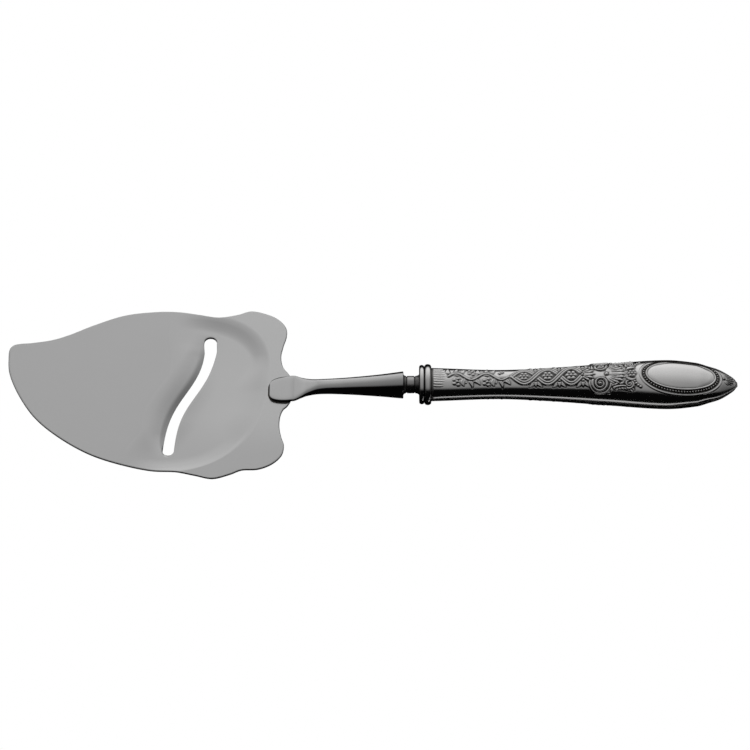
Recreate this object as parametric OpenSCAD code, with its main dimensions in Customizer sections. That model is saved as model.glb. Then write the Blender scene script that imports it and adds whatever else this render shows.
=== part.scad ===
// Cheese plane: a pressed steel leaf blade on a forged stem, set in a hollow silver handle.
// Frame: +X runs from the blade towards the handle's tail, +Z is up.
// The origin is on the flat sole, at the blade's root, under the handle's axis.

/* [Blade] */
// Length of the blade from its tip to its root
blade_len = 90.3; // [72:0.1:110]
// Width of the blade across its widest lobes
blade_w = 67.2; // [54:0.2:80]
// Thickness of the steel sheet
blade_t = 0.8; // [0.6:0.05:1.4]
// Width of the bevel ground along the cutting lip
bevel_w = 1.7; // [0.8:0.1:2]
// Thickness left at the cutting edge
edge_t = 0.2; // [0.1:0.05:0.5]

/* [Slot] */
// Length of the slot, end to end, across the blade
slot_len = 46.8; // [40:0.2:52]
// Width of the slot
slot_w = 3.55; // [2.6:0.05:5]
// Distance of the slot's middle from the blade's root
slot_back = 31.7; // [28:0.1:36]
// Sideways place of the slot's middle
slot_side = -1; // [-3:0.2:0]
// How far each end of the slot sways along the blade
slot_sway = 6.2; // [3:0.1:9]
// How sharp the slot's S-bend is
slot_bend_ratio = 1.75; // [0.8:0.05:2.4]
// How far the slot's top end hooks back towards the tip
slot_hook = 0.5; // [0:0.1:0.8]
// How much wider the slot's round top end is
slot_eye_ratio = 0.15; // [0:0.05:0.3]

/* [Pressing] */
// Depth of the step round the dish pressed into the blade behind the slot
dish_depth = 0.8; // [0.2:0.05:0.9]
// Extra depth of the dish's hollow at its middle
bowl_depth = 0.4; // [0:0.05:0.6]
// Depth of the cutting lip below the sole
lip_depth = 1.25; // [1.1:0.05:2.2]
// Width of the strip bent down into the lip
lip_w = 9; // [6:0.5:12]
// Width of the soft slope round the dish
dish_slope_w = 4.8; // [2:0.2:5]
// Distance from the blade's root to the back of the dish
dish_back = 7; // [7:0.2:12]
// Half length of the oval that the dish's back follows
dish_hl = 28.8; // [24:0.2:34]
// Half width of that oval above its middle
dish_top_hw = 25.5; // [22:0.5:30]
// Half width of that oval below its middle
dish_low_hw = 33.2; // [28:0.1:38]
// Lean of that oval, as travel along the blade per unit across it
dish_lean_ratio = 0.11; // [0:0.01:0.3]
// Sideways place of the dish's middle
dish_side = 4.4; // [0:0.2:6]

/* [Stem] */
// Length of the stem from the blade's root to its shoulder
stem_len = 35.6; // [28:0.2:50]
// Length of the flat tongue that lies on the blade
tongue_len = 6.9; // [5:0.1:7]
// Thickness of the tongue
tongue_t = 0.95; // [0.8:0.05:1.6]
// Half of the tongue's greatest width
tongue_hw = 4.9; // [3.8:0.05:6]
// How far the tongue's root lies to the slot's top side of the axis
tongue_side = 0.75; // [0:0.05:0.9]
// Half of the stem's width at its slimmest
slim_hw = 2.44; // [2.2:0.02:3]
// Half of the stem's height where it is slimmest
slim_hh = 1.85; // [1.5:0.05:2.4]
// Height of the stem's middle above the sole where it is slimmest
slim_z = 3.35; // [2.6:0.05:4]
// Half of the stem's width at its shoulder
shoulder_hw = 4.2; // [4:0.02:5.4]
// Half of the stem's height at its shoulder
shoulder_hh = 4.3; // [3.6:0.1:5]
// How far the middle of the shoulder lies below the handle's axis
shoulder_drop = 0.2; // [0:0.05:0.4]
// Thickness of the braze between the tongue and the blade
braze_t = 0.15; // [0.1:0.05:0.3]
// Height of the handle's axis above the sole
axis_z = 4.45; // [3.8:0.05:8]
// Radius of the tang that runs into the handle
tang_r = 1.9; // [1.5:0.05:2.2]
// Length of the tang from the stem's shoulder
tang_len = 46; // [25:1:70]

/* [Neck and ferrule] */
// Length of the collar between the shoulder and the mouth cap
neck_len = 5; // [4:0.1:8]
// Radius of the collar's band
neck_r = 2.75; // [2.6:0.05:3.6]
// Depth of the grooves beside the collar's band
neck_groove = 0.25; // [0.1:0.05:0.4]
// How far the collar's ends flare out
neck_flare = 0.6; // [0.3:0.05:0.9]
// Mean radius of the mouth cap's oval rim
cap_r = 6; // [5.7:0.05:7]
// Width of the mouth cap's rim
cap_w = 1.6; // [1.2:0.1:2.4]
// Length of the spigot that plugs the shells
spigot_len = 2.2; // [1.6:0.2:3]
// Mean radius of the ferrule's oval bead
ferrule_r = 6.25; // [5.9:0.05:7.2]
// Width of the ferrule
ferrule_w = 2.2; // [1.6:0.1:3.2]

/* [Handle] */
// Length of the shells from the mouth cap to the tail
handle_len = 98.8; // [80:0.2:125]
// Half width of the shells at the mouth
mouth_hw = 5.65; // [5.3:0.05:6]
// Half height of the shells at the mouth
mouth_hh = 4.45; // [4.1:0.05:4.9]
// Half width of the waist
waist_hw = 4.75; // [4.2:0.05:5.6]
// Half height of the waist
waist_hh = 3.95; // [3.6:0.05:5]
// Half width of the belly
belly_hw = 8.35; // [7.5:0.05:10.5]
// Half height of the belly
belly_hh = 5.9; // [4.6:0.05:6.6]
// Thickness of the silver sheet
shell_t = 0.6; // [0.4:0.05:0.9]
// Thickness of the solder in the side seam
seam_t = 0.2; // [0.1:0.05:0.3]
// Solid silver left at the tail
tail_solid = 4.5; // [3.5:0.1:7]
// Clearance between pieces that slide into each other
fit = 0.05; // [0.02:0.01:0.1]

/* [Hidden] */
$fn = 64;

// Places along the axis
shoulder_x = stem_len;
cap_x = shoulder_x + neck_len;
mouth_x = cap_x + cap_w;

// Smooth step from 0 to 1 over the stretch from a to b
function step01(a, b, x) =
    let (t = min(1, max(0, (x - a) / (b - a)))) t * t * (3 - 2 * t);

// Hyperbolic tangent, for the slot's S-bend
function tanh(x) = (exp(2 * x) - 1) / (exp(2 * x) + 1);

// Point at t from 0 to 1 on a smooth curve through b and c, with a and d beside them
function spline(a, b, c, d, t) =
    0.5 * (2 * b + (c - a) * t + (2 * a - 5 * b + 4 * c - d) * t * t
           + (3 * b - a - 3 * c + d) * t * t * t);

// Slope at row i of a table of [place, value ...] rows
function slope(table, i, k) =
    let (lo = table[max(0, i - 1)], hi = table[min(len(table) - 1, i + 1)])
    (hi[k] - lo[k]) / (hi[0] - lo[0]);

// Value k at place x in a table of [place, value ...] rows, joined by smooth cubics
function lookup_smooth(table, x, k) =
    let (rows = [for (i = [0 : len(table) - 2]) if (x >= table[i][0]) i],
         i = len(rows) == 0 ? 0 : rows[len(rows) - 1],
         a = table[i], b = table[i + 1], h = b[0] - a[0],
         t = min(1, max(0, (x - a[0]) / h)),
         m0 = slope(table, i, k) * h, m1 = slope(table, i + 1, k) * h)
    (2 * t * t * t - 3 * t * t + 1) * a[k] + (t * t * t - 2 * t * t + t) * m0
    + (3 * t * t - 2 * t * t * t) * b[k] + (t * t * t - t * t) * m1;

// Triangles of a grid of points, rows by cols, whose first point has index start
function grid_faces(rows, cols, start, flip) =
    [for (r = [0 : rows - 2], c = [0 : cols - 2], half = [0, 1])
        let (p = start + r * cols + c,
             q = half == 0 ? [p, p + 1, p + cols + 1] : [p, p + cols + 1, p + cols])
        flip ? [q[2], q[1], q[0]] : q];

// Triangles between rings of points, each ring closed on itself
function ring_faces(rings, count, start, flip) =
    [for (r = [0 : rings - 2], c = [0 : count - 1], half = [0, 1])
        let (p = start + r * count, n = (c + 1) % count,
             q = half == 0 ? [p + c, p + n, p + count + n] : [p + c, p + count + n, p + count + c])
        flip ? [q[2], q[1], q[0]] : q];

// Point at angle phi on a rounded section with half sizes a and b
function section(a, b, power, phi) =
    [a * sign(cos(phi)) * pow(abs(cos(phi)), 2 / power),
     b * sign(sin(phi)) * pow(abs(sin(phi)), 2 / power)];

// A solid turned about the handle's axis from points of [radius, place along X],
// then pressed oval by factors across and upwards
module turned(points, wide = 1, high = 1) {
    translate([0, 0, axis_z]) scale([1, wide, high]) rotate([0, 90, 0]) rotate_extrude() polygon(points);
}

// An oval bar along the handle's axis, from place a to place b
module oval_bar(half_w, half_h, a, b) {
    translate([a, 0, axis_z]) rotate([0, 90, 0]) scale([half_h, half_w, 1]) cylinder(r = 1, h = b - a);
}

// Blade outline, as shares of the length in front of the root and of the width.
// It runs from the top of the slot round the root, the lower edge and the tip.
leaf = [
    [0.26, 0.453], [0.195, 0.468], [0.145, 0.49], [0.088, 0.47], [0.048, 0.438],
    [0.021, 0.388], [0.018, 0.334], [0.029, 0.272], [0.036, 0.21], [0.028, 0.148],
    [0.006, 0.102], [-0.006, 0.045], [-0.006, -0.03], [0.009, -0.08], [0.025, -0.106],
    [0.035, -0.148], [0.037, -0.204], [0.03, -0.262], [0.02, -0.313], [0.027, -0.371],
    [0.06, -0.421], [0.107, -0.45], [0.162, -0.455], [0.205, -0.481], [0.263, -0.504],
    [0.325, -0.485], [0.395, -0.464], [0.48, -0.457], [0.59, -0.42], [0.698, -0.36],
    [0.804, -0.264], [0.89, -0.153], [0.952, -0.021], [0.991, 0.107], [1, 0.208],
    [0.998, 0.257], [0.984, 0.282], [0.957, 0.29], [0.923, 0.294], [0.852, 0.312],
    [0.788, 0.346], [0.705, 0.404], [0.599, 0.463], [0.492, 0.485], [0.408, 0.485],
    [0.33, 0.468]];

// Point at t on the blade's outline, where t counts outline points
function leaf_point(t) =
    let (n = len(leaf), i = floor(t),
         p = spline(leaf[(i + n - 1) % n], leaf[i % n], leaf[(i + 1) % n], leaf[(i + 2) % n], t - i))
    [-p[0] * blade_len, p[1] * blade_w];

// Middle of the slot at v from -1 to 1 between the centres of its round ends
slot_half = (slot_len - slot_w) / 2;
slot_turn_ratio = 0.03;
function slot_mid(v) =
    [-slot_back + slot_sway * tanh(slot_bend_ratio * (v - slot_turn_ratio)) / tanh(slot_bend_ratio)
     - slot_hook * step01(0.8, 1, v),
     slot_side + v * slot_half];

// Direction along the slot at v
function slot_along(v) =
    let (d = slot_mid(v + 0.01) - slot_mid(v - 0.01)) d / norm(d);

// Point on the slot's edge: angle 0 faces the handle, 180 faces the tip
function slot_edge(v, angle) =
    let (d = slot_along(v), r = slot_w / 2 * (1 + slot_eye_ratio * step01(0.5, 1, v)))
    slot_mid(v) + r * [d[1] * cos(angle) + d[0] * sin(angle), d[1] * sin(angle) - d[0] * cos(angle)];

// How deep the sheet is pressed at a point, in front of the slot or behind it
lip_fade_ratio = 0.3;
lip_taper_ratio = 0.5;
dish_fade_w = 16;
dish_wrap_w = 5;
dish_low_wrap_w = 6;
dish_power = 2.5;
dish_low_skew = 0.55;
dish_top_skew = 0.85;
dish_top_ease = 0.6;
dish_back_ease = 1.5;
dish_back_top = 11;
dish_back_low = -3;
function pressed(p, in_front) =
    let (half = dish_slope_w / 2,
         v = (p[1] - slot_side) / slot_half,
         slot_x = slot_mid(min(1, max(-1, v)))[0],
         side = p[1] - dish_side,
         along = max(0, 1 + (p[0] - dish_lean_ratio * side + dish_back + half) / dish_hl),
         across = abs(side) / (side > 0 ? dish_top_hw : dish_low_hw),
         from_middle = pow(pow(along, dish_power) + pow(across, dish_power), 1 / dish_power),
         within = (1 - from_middle) * dish_hl,
         past = p[0] - slot_x,
         bowl = bowl_depth * max(0, 1 - from_middle * from_middle),
         above = step01(-dish_slope_w, dish_slope_w, side),
         gentle = step01(0.75, 0.35, across) * step01(dish_back_top, dish_back_low, side),
         soft = dish_top_ease * step01(0, dish_top_hw, side) + dish_back_ease * gentle,
         slope_w = dish_slope_w * (1 + soft),
         down = min(1, max(0, (within + half) / slope_w)),
         skew = dish_low_skew + (dish_top_skew - dish_low_skew) * above,
         sunk = dish_depth * step01(0, 1, pow(down, skew)) + bowl,
         wrap = dish_wrap_w * step01(-0.2, 1.1, v) + dish_low_wrap_w * step01(-0.45, -1.25, v),
         dish = sunk * step01(-dish_fade_w / 2, dish_fade_w / 2, past + wrap),
         bend_w = lip_w * (1 - lip_taper_ratio * min(1, v * v)),
         bend = in_front ? max(0, 1 - max(0, -past - slot_w / 2) / bend_w) : 0,
         lip = step01(1 + lip_fade_ratio / 2, 1 - lip_fade_ratio, abs(v)) * bend * bend)
    dish + (lip_depth - dish) * lip;

// Rays of the blade's mesh: from the slot's edge out to the outline
side_rays = 44;
cap_rays = 6;
rings = 9;

// Counts of outline points where the rays turn: behind the slot's top, behind its foot,
// ahead of its foot, ahead of its top, and behind its top again
leaf_turns = [0.5, 24, 26.5, 44, len(leaf) + 0.5];

// Place on the outline at share s of stretch i between two turns
function ray_turn(i, s) = leaf_turns[i] + s * (leaf_turns[i + 1] - leaf_turns[i]);

// Share of the full bevel at v along the slot: none at the top, full from the middle down
function ground(v) = step01(0.98, 0.5, v);

// Each ray is [slot point, outline point, true on the lip's side, share of the bevel]
function blade_rays() = concat(
    [for (i = [0 : side_rays - 1]) let (s = i / side_rays)
        [slot_edge(1 - 2 * s, 0), leaf_point(ray_turn(0, s)), false, 0]],
    [for (i = [0 : cap_rays - 1]) let (s = i / cap_rays)
        [slot_edge(-1, -180 * s), leaf_point(ray_turn(1, s)), s > 0.5, max(0, 2 * s - 1)]],
    [for (i = [0 : side_rays - 1]) let (s = i / side_rays)
        [slot_edge(2 * s - 1, 180), leaf_point(ray_turn(2, s)), true, ground(2 * s - 1)]],
    [for (i = [0 : cap_rays - 1]) let (s = i / cap_rays)
        [slot_edge(1, 180 - 180 * s), leaf_point(ray_turn(3, s)), s < 0.5, 0]]);

// Place on a ray: the slot's edge, then the bevel's back, then even steps to the outline
function ray_point(ray, ring) =
    let (span = ray[1] - ray[0], first = bevel_w / norm(span),
         s = ring == 0 ? 0 : first + (1 - first) * (ring - 1) / (rings - 2))
    ray[0] + s * span;

module blade() {
    rays = blade_rays();
    count = len(rays);
    low = [for (r = [0 : rings - 1], ray = rays)
        let (p = ray_point(ray, r)) [p[0], p[1], -pressed(p, ray[2])]];
    high = [for (r = [0 : rings - 1], i = [0 : count - 1])
        let (p = low[r * count + i], cut = r == 0 ? rays[i][3] * (blade_t - edge_t) : 0)
        p + [0, 0, blade_t - cut]];
    top = count * rings;
    wall = [for (i = [0 : count - 1], half = [0, 1])
        let (n = (i + 1) % count) half == 0 ? [top + n, n, i] : [top + i, top + n, i]];
    rim = (rings - 1) * count;
    outer = [for (f = wall) [for (k = [2, 1, 0]) f[k] + rim]];
    color("silver")
        polyhedron(concat(low, high), concat(ring_faces(rings, count, 0, false),
                                             ring_faces(rings, count, top, true), wall, outer));
}

// Half width of the tongue and stem, half height, middle height and squareness along the stem
tongue_hh = tongue_t / 2;
tongue_z = blade_t + braze_t + tongue_hh;
root_swell = 0.05;
flare_x = 8.8;
flare_hw = tongue_hw - slim_hw;
swell_hw = shoulder_hw - slim_hw;
rise_hh = slim_hh - tongue_hh;
rise_z = slim_z - tongue_z;
shoulder_z = axis_z - shoulder_drop;
lift_z = shoulder_z - slim_z;
shaft_len = shoulder_x - flare_x;
stem_table = [
    [-tongue_len, 0.3 * tongue_hw, tongue_hh, tongue_z, 7],
    [-0.97 * tongue_len, 0.48 * tongue_hw, tongue_hh, tongue_z, 7],
    [-0.92 * tongue_len, 0.64 * tongue_hw, tongue_hh, tongue_z, 7],
    [-0.82 * tongue_len, 0.78 * tongue_hw, tongue_hh, tongue_z, 7],
    [-0.6 * tongue_len, 0.91 * tongue_hw, tongue_hh, tongue_z, 7],
    [-0.3 * tongue_len, 0.98 * tongue_hw, tongue_hh, tongue_z, 7],
    [0, tongue_hw, tongue_hh + root_swell, tongue_z + root_swell, 6],
    [0.15 * flare_x, 0.98 * tongue_hw, tongue_hh + 0.09 * rise_hh, tongue_z + 0.1 * rise_z, 5],
    [0.36 * flare_x, slim_hw + 0.6 * flare_hw, tongue_hh + 0.29 * rise_hh, tongue_z + 0.31 * rise_z, 4],
    [0.6 * flare_x, slim_hw + 0.25 * flare_hw, tongue_hh + 0.6 * rise_hh, tongue_z + 0.64 * rise_z, 3.2],
    [flare_x, slim_hw, slim_hh, slim_z, 2.6],
    [flare_x + 0.3 * shaft_len, slim_hw + 0.1 * swell_hw, 0.55 * shoulder_hh, slim_z + 0.35 * lift_z, 2.3],
    [flare_x + 0.7 * shaft_len, slim_hw + 0.54 * swell_hw, 0.77 * shoulder_hh, slim_z + 0.68 * lift_z, 2.15],
    [shoulder_x, shoulder_hw, shoulder_hh, shoulder_z, 2.1]];
stem_sides = 24;
stem_steps = 34;

// Stations are close together on the tongue and the flare
function stem_x(i) =
    let (s = i / (stem_steps - 1)) -tongue_len + (shoulder_x + tongue_len) * pow(s, 1.5);

// Sideways place of the stem's middle, which leaves the axis in the flare
// and nears it again towards the tongue's end
tongue_skew_ratio = 0.85;
function stem_side(x) =
    tongue_side * step01(flare_x, 0, x) * (1 + tongue_skew_ratio * min(0, x) / tongue_len);

// Ring of points round the stem at place x
function stem_ring(x) =
    [for (j = [0 : stem_sides - 1])
        let (p = section(lookup_smooth(stem_table, x, 1), lookup_smooth(stem_table, x, 2),
                         lookup_smooth(stem_table, x, 4), 360 * j / stem_sides))
        [x, stem_side(x) + p[0], lookup_smooth(stem_table, x, 3) + p[1]]];

tang_root = 2;

module stem() {
    points = [for (i = [0 : stem_steps - 1]) each stem_ring(stem_x(i))];
    last = (stem_steps - 1) * stem_sides;
    ends = [[for (j = [0 : stem_sides - 1]) j], [for (j = [stem_sides - 1 : -1 : 0]) last + j]];
    color("gainsboro") {
        polyhedron(points, concat(ring_faces(stem_steps, stem_sides, 0, true), ends));
        translate([shoulder_x - tang_root, 0, axis_z]) rotate([0, 90, 0])
            cylinder(r = tang_r, h = tang_len + tang_root);
    }
}

braze_inset = 0.3;
braze_steps = 10;

module braze_pad() {
    film_len = tongue_len - braze_inset;
    places = [for (i = [0 : braze_steps]) film_len * (i / braze_steps - 1)];
    half = [for (x = places) lookup_smooth(stem_table, x, 1) - braze_inset];
    color("lightgray") translate([0, 0, blade_t]) linear_extrude(braze_t) polygon(concat(
        [for (i = [0 : braze_steps]) [places[i], stem_side(places[i]) + half[i]]],
        [for (i = [braze_steps : -1 : 0]) [places[i], stem_side(places[i]) - half[i]]]));
}

tang_bore = tang_r + fit;

// Radius and place of the collar's points, as shares of its flare, its groove and its length
collar_shape = [
    [1, 0, 0], [0.25, 0, 0.07], [0, 0, 0.16], [0, -1, 0.2], [0, 0, 0.25], [0, 0, 0.66],
    [0, -1, 0.71], [0, 0, 0.76], [0.25, 0, 0.9], [1, 0, 1]];

module neck_collar() {
    color("silver") turned(concat(
        [[tang_bore, shoulder_x]],
        [for (p = collar_shape)
            [neck_r + p[0] * neck_flare + p[1] * neck_groove, shoulder_x + p[2] * neck_len]],
        [[tang_bore, cap_x]]));
}

// Mean radius of the oval mouth, and how the mouth's rings are pressed from round to oval
mouth_r = (mouth_hw + mouth_hh) / 2;
mouth_wide = mouth_hw / mouth_r;
mouth_high = mouth_hh / mouth_r;

// Points of a half-round bead from place a to place b, standing up to radius r
bead_steps = 10;
ring_wall = 0.3;
ferrule_bore = mouth_r + fit / mouth_high;
bead_base = ferrule_bore + ring_wall;
function bead(a, b, r) =
    [for (i = [0 : bead_steps]) let (t = 180 * i / bead_steps)
        [bead_base + (r - bead_base) * sin(t), (a + b) / 2 - (b - a) / 2 * cos(t)]];

module mouth_cap() {
    plug_x = mouth_x + spigot_len;
    rim = concat([[0, cap_x]], bead(cap_x, mouth_x, cap_r), [[0, mouth_x]]);
    color("silver") difference() {
        union() {
            turned(rim, mouth_wide, mouth_high);
            oval_bar(mouth_hw - shell_t - fit, mouth_hh - shell_t - fit, cap_x + cap_w / 2, plug_x);
        }
        oval_bar(tang_bore, tang_bore, cap_x - fit, plug_x + fit);
    }
}

module ferrule() {
    back_x = mouth_x + ferrule_w;
    color("silver") turned(concat([[ferrule_bore, mouth_x]], bead(mouth_x, back_x, ferrule_r),
                                  [[ferrule_bore, back_x]]), mouth_wide, mouth_high);
}

// Half width and half height of the handle, at distances from the mouth
belly_dw = belly_hw - waist_hw;
belly_dh = belly_hh - waist_hh;
handle_table = [
    [0, mouth_hw, mouth_hh],
    [0.5 * ferrule_w, mouth_hw, mouth_hh],
    [ferrule_w, mouth_hw, mouth_hh],
    [0.067 * handle_len, mouth_hw - 0.3 * (mouth_hw - waist_hw), mouth_hh - 0.6 * (mouth_hh - waist_hh)],
    [0.242 * handle_len, waist_hw, waist_hh],
    [0.408 * handle_len, waist_hw + 0.2 * belly_dw, waist_hh + 0.3 * belly_dh],
    [0.581 * handle_len, waist_hw + 0.57 * belly_dw, waist_hh + 0.8 * belly_dh],
    [0.77 * handle_len, belly_hw, belly_hh],
    [0.868 * handle_len, 0.91 * belly_hw, 0.84 * belly_hh],
    [0.906 * handle_len, 0.775 * belly_hw, 0.69 * belly_hh],
    [0.944 * handle_len, 0.62 * belly_hw, 0.52 * belly_hh],
    [0.983 * handle_len, 0.31 * belly_hw, 0.28 * belly_hh],
    [handle_len, 0.09 * belly_hw, 0.11 * belly_hh]];

// Squareness of the handle's section: a plain oval in the ferrule, fuller behind it
handle_power = 2.2;
function section_power(d) = 2 + (handle_power - 2) * step01(ferrule_w, 3 * ferrule_w, d);

shell_points = 13;
shell_steps = 34;

// Stations run closer together towards the tail
function handle_d(i, count, length) = let (s = i / (count - 1)) length * (1.35 * s - 0.35 * s * s);

// Arc of points over half of the handle, inset from its outside, on the upper or lower side
function half_arc(d, inset, side) =
    [for (j = [0 : shell_points - 1])
        let (p = section(lookup_smooth(handle_table, d, 1) - inset,
                         lookup_smooth(handle_table, d, 2) - inset - seam_t / 2,
                         section_power(d), 180 * j / (shell_points - 1)))
        [mouth_x + d, p[0], axis_z + side * (seam_t / 2 + p[1])]];

module half_shell(side) {
    hollow_len = handle_len - tail_solid;
    outside = [for (i = [0 : shell_steps - 1])
        each half_arc(handle_d(i, shell_steps, handle_len), 0, side)];
    inside = [for (i = [0 : shell_steps - 1])
        each half_arc(handle_d(i, shell_steps, hollow_len), shell_t, side)];
    n = shell_points;
    first = shell_steps * n;
    last = (shell_steps - 1) * n;
    tail = [for (j = [0 : n - 1]) last + j];
    hollow_end = [for (j = [n - 1 : -1 : 0]) first + last + j];
    mouth = [for (j = [0 : n - 2]) [j + 1, j, first + j, first + j + 1]];
    seam = [for (i = [0 : shell_steps - 2]) each
        let (p = i * n, q = i * n + n - 1)
        [[p, p + n, first + p + n, first + p], [q + n, q, first + q, first + q + n]]];
    seam_end = [last, last + n - 1, first + last + n - 1, first + last];
    faces = concat(grid_faces(shell_steps, n, 0, false), grid_faces(shell_steps, n, first, true),
                   mouth, seam, [tail, hollow_end, seam_end]);
    polyhedron(concat(outside, inside),
               side < 0 ? faces : [for (f = faces) [for (k = [len(f) - 1 : -1 : 0]) f[k]]]);
}

module upper_shell() {
    color("silver") half_shell(1);
}

module lower_shell() {
    color("silver") half_shell(-1);
}

// Flat outline of the handle at its seam, inset from the outside and cut at a length
function seam_outline(inset, length) =
    let (edge = [for (i = [0 : shell_steps - 1]) let (d = handle_d(i, shell_steps, length))
                    [mouth_x + d, lookup_smooth(handle_table, d, 1) - inset]])
    concat(edge, [for (i = [shell_steps - 1 : -1 : 0]) [edge[i][0], -edge[i][1]]]);

module seam_solder() {
    color("whitesmoke") translate([0, 0, axis_z - seam_t / 2]) linear_extrude(seam_t) difference() {
        polygon(seam_outline(0, handle_len));
        polygon(seam_outline(shell_t, handle_len - tail_solid));
    }
}

core_sides = 24;
core_steps = 28;

// Ring of points round the cement at distance d from the mouth
function core_ring(d) =
    [for (j = [0 : core_sides - 1])
        let (p = section(lookup_smooth(handle_table, d, 1) - shell_t - fit,
                         lookup_smooth(handle_table, d, 2) - shell_t - fit,
                         section_power(d), 360 * j / core_sides))
        [mouth_x + d, p[0], axis_z + p[1]]];

module cement_core() {
    core_len = handle_len - tail_solid - fit - spigot_len;
    points = [for (i = [0 : core_steps - 1])
        each core_ring(spigot_len + handle_d(i, core_steps, core_len))];
    last = (core_steps - 1) * core_sides;
    ends = [[for (j = [0 : core_sides - 1]) j], [for (j = [core_sides - 1 : -1 : 0]) last + j]];
    bore_len = tang_len - neck_len - cap_w - spigot_len + fit;
    color("dimgray") difference() {
        polyhedron(points, concat(ring_faces(core_steps, core_sides, 0, true), ends));
        translate([mouth_x + spigot_len - 1, 0, axis_z]) rotate([0, 90, 0])
            cylinder(r = tang_bore, h = bore_len + 1);
    }
}

blade();
braze_pad();
stem();
neck_collar();
mouth_cap();
ferrule();
upper_shell();
lower_shell();
seam_solder();
cement_core();
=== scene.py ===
# %% [markdown]
# # A cheese plane, dressed for its picture
# The tool is a leaf of pressed steel on a forged stem, set in a hollow silver handle.
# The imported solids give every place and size. Each cell below takes one piece, says what it is on the
# real tool and makes a finer mesh of it in the same place, or gives the solid a better finish.

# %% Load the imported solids
import math

import bpy
import numpy as np
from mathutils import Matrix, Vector


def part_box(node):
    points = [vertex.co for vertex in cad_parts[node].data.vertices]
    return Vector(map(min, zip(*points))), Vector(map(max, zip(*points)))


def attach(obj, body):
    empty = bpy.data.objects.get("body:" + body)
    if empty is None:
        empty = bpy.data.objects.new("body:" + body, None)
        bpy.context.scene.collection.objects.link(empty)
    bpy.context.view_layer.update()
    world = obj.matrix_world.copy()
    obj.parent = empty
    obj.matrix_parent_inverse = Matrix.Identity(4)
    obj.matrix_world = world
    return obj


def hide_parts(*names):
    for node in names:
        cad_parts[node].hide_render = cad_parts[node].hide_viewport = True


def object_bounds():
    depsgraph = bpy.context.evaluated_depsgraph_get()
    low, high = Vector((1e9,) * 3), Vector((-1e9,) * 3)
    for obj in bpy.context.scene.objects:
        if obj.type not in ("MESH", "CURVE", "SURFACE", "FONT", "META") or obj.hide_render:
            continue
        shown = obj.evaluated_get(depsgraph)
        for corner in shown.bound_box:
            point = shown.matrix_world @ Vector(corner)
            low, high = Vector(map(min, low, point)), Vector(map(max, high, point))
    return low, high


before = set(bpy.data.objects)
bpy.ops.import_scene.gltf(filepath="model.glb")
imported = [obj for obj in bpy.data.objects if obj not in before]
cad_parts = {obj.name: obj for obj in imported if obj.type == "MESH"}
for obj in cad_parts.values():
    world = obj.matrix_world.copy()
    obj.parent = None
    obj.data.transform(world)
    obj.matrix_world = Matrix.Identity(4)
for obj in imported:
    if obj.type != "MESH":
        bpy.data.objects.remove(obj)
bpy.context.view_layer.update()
MM = 0.001
print("nodes:", sorted(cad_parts))

# %% [markdown]
# ## Places along the tool
# Everything is strung on the handle's axis, so a few places along X and one height say where each piece
# is. They are read from the solids, in millimetres, so the meshes follow the solids if these change.

# %% Read the places


def node_span(node, axis):
    low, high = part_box(node)
    return low[axis] / MM, high[axis] / MM


X, Y, Z = 0, 1, 2
tongue_x, tang_end_x = node_span("stem", X)
shoulder_x, cap_x = node_span("neck_collar", X)
mouth_x, ferrule_back_x = node_span("ferrule", X)
tail_x = node_span("upper_shell", X)[1]
axis_z = sum(node_span("ferrule", Z)) / 2
handle_len = tail_x - mouth_x
print(f"shoulder {shoulder_x:.1f}, cap {cap_x:.1f}, mouth {mouth_x:.1f}")
print(f"tail {tail_x:.1f}, axis at height {axis_z:.2f}")

# %% [markdown]
# ## Sums in a shader
# A material is a graph of nodes, and a sum such as `0.5 + mask` is one small node. The class below wraps
# a socket, so that such a sum is written as in Python and adds its own nodes. Any other node comes from
# one method that takes the node's type, its settings and what goes into its sockets.

# %% A socket that can be added and multiplied


class Wire:
    """A number or a shape on its way through a node tree."""

    def __init__(self, finish, socket):
        self.finish = finish
        self.socket = socket

    def math(self, operation, *values):
        return self.finish.node("ShaderNodeMath", {"operation": operation}, dict(enumerate(values)))

    def __add__(self, other):
        return self.math("ADD", self, other)

    def __mul__(self, other):
        return self.math("MULTIPLY", self, other)

    __radd__ = __add__
    __rmul__ = __mul__

    def clamped(self):
        return self.math("MAXIMUM", self.math("MINIMUM", self, 1.0), 0.0)


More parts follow.
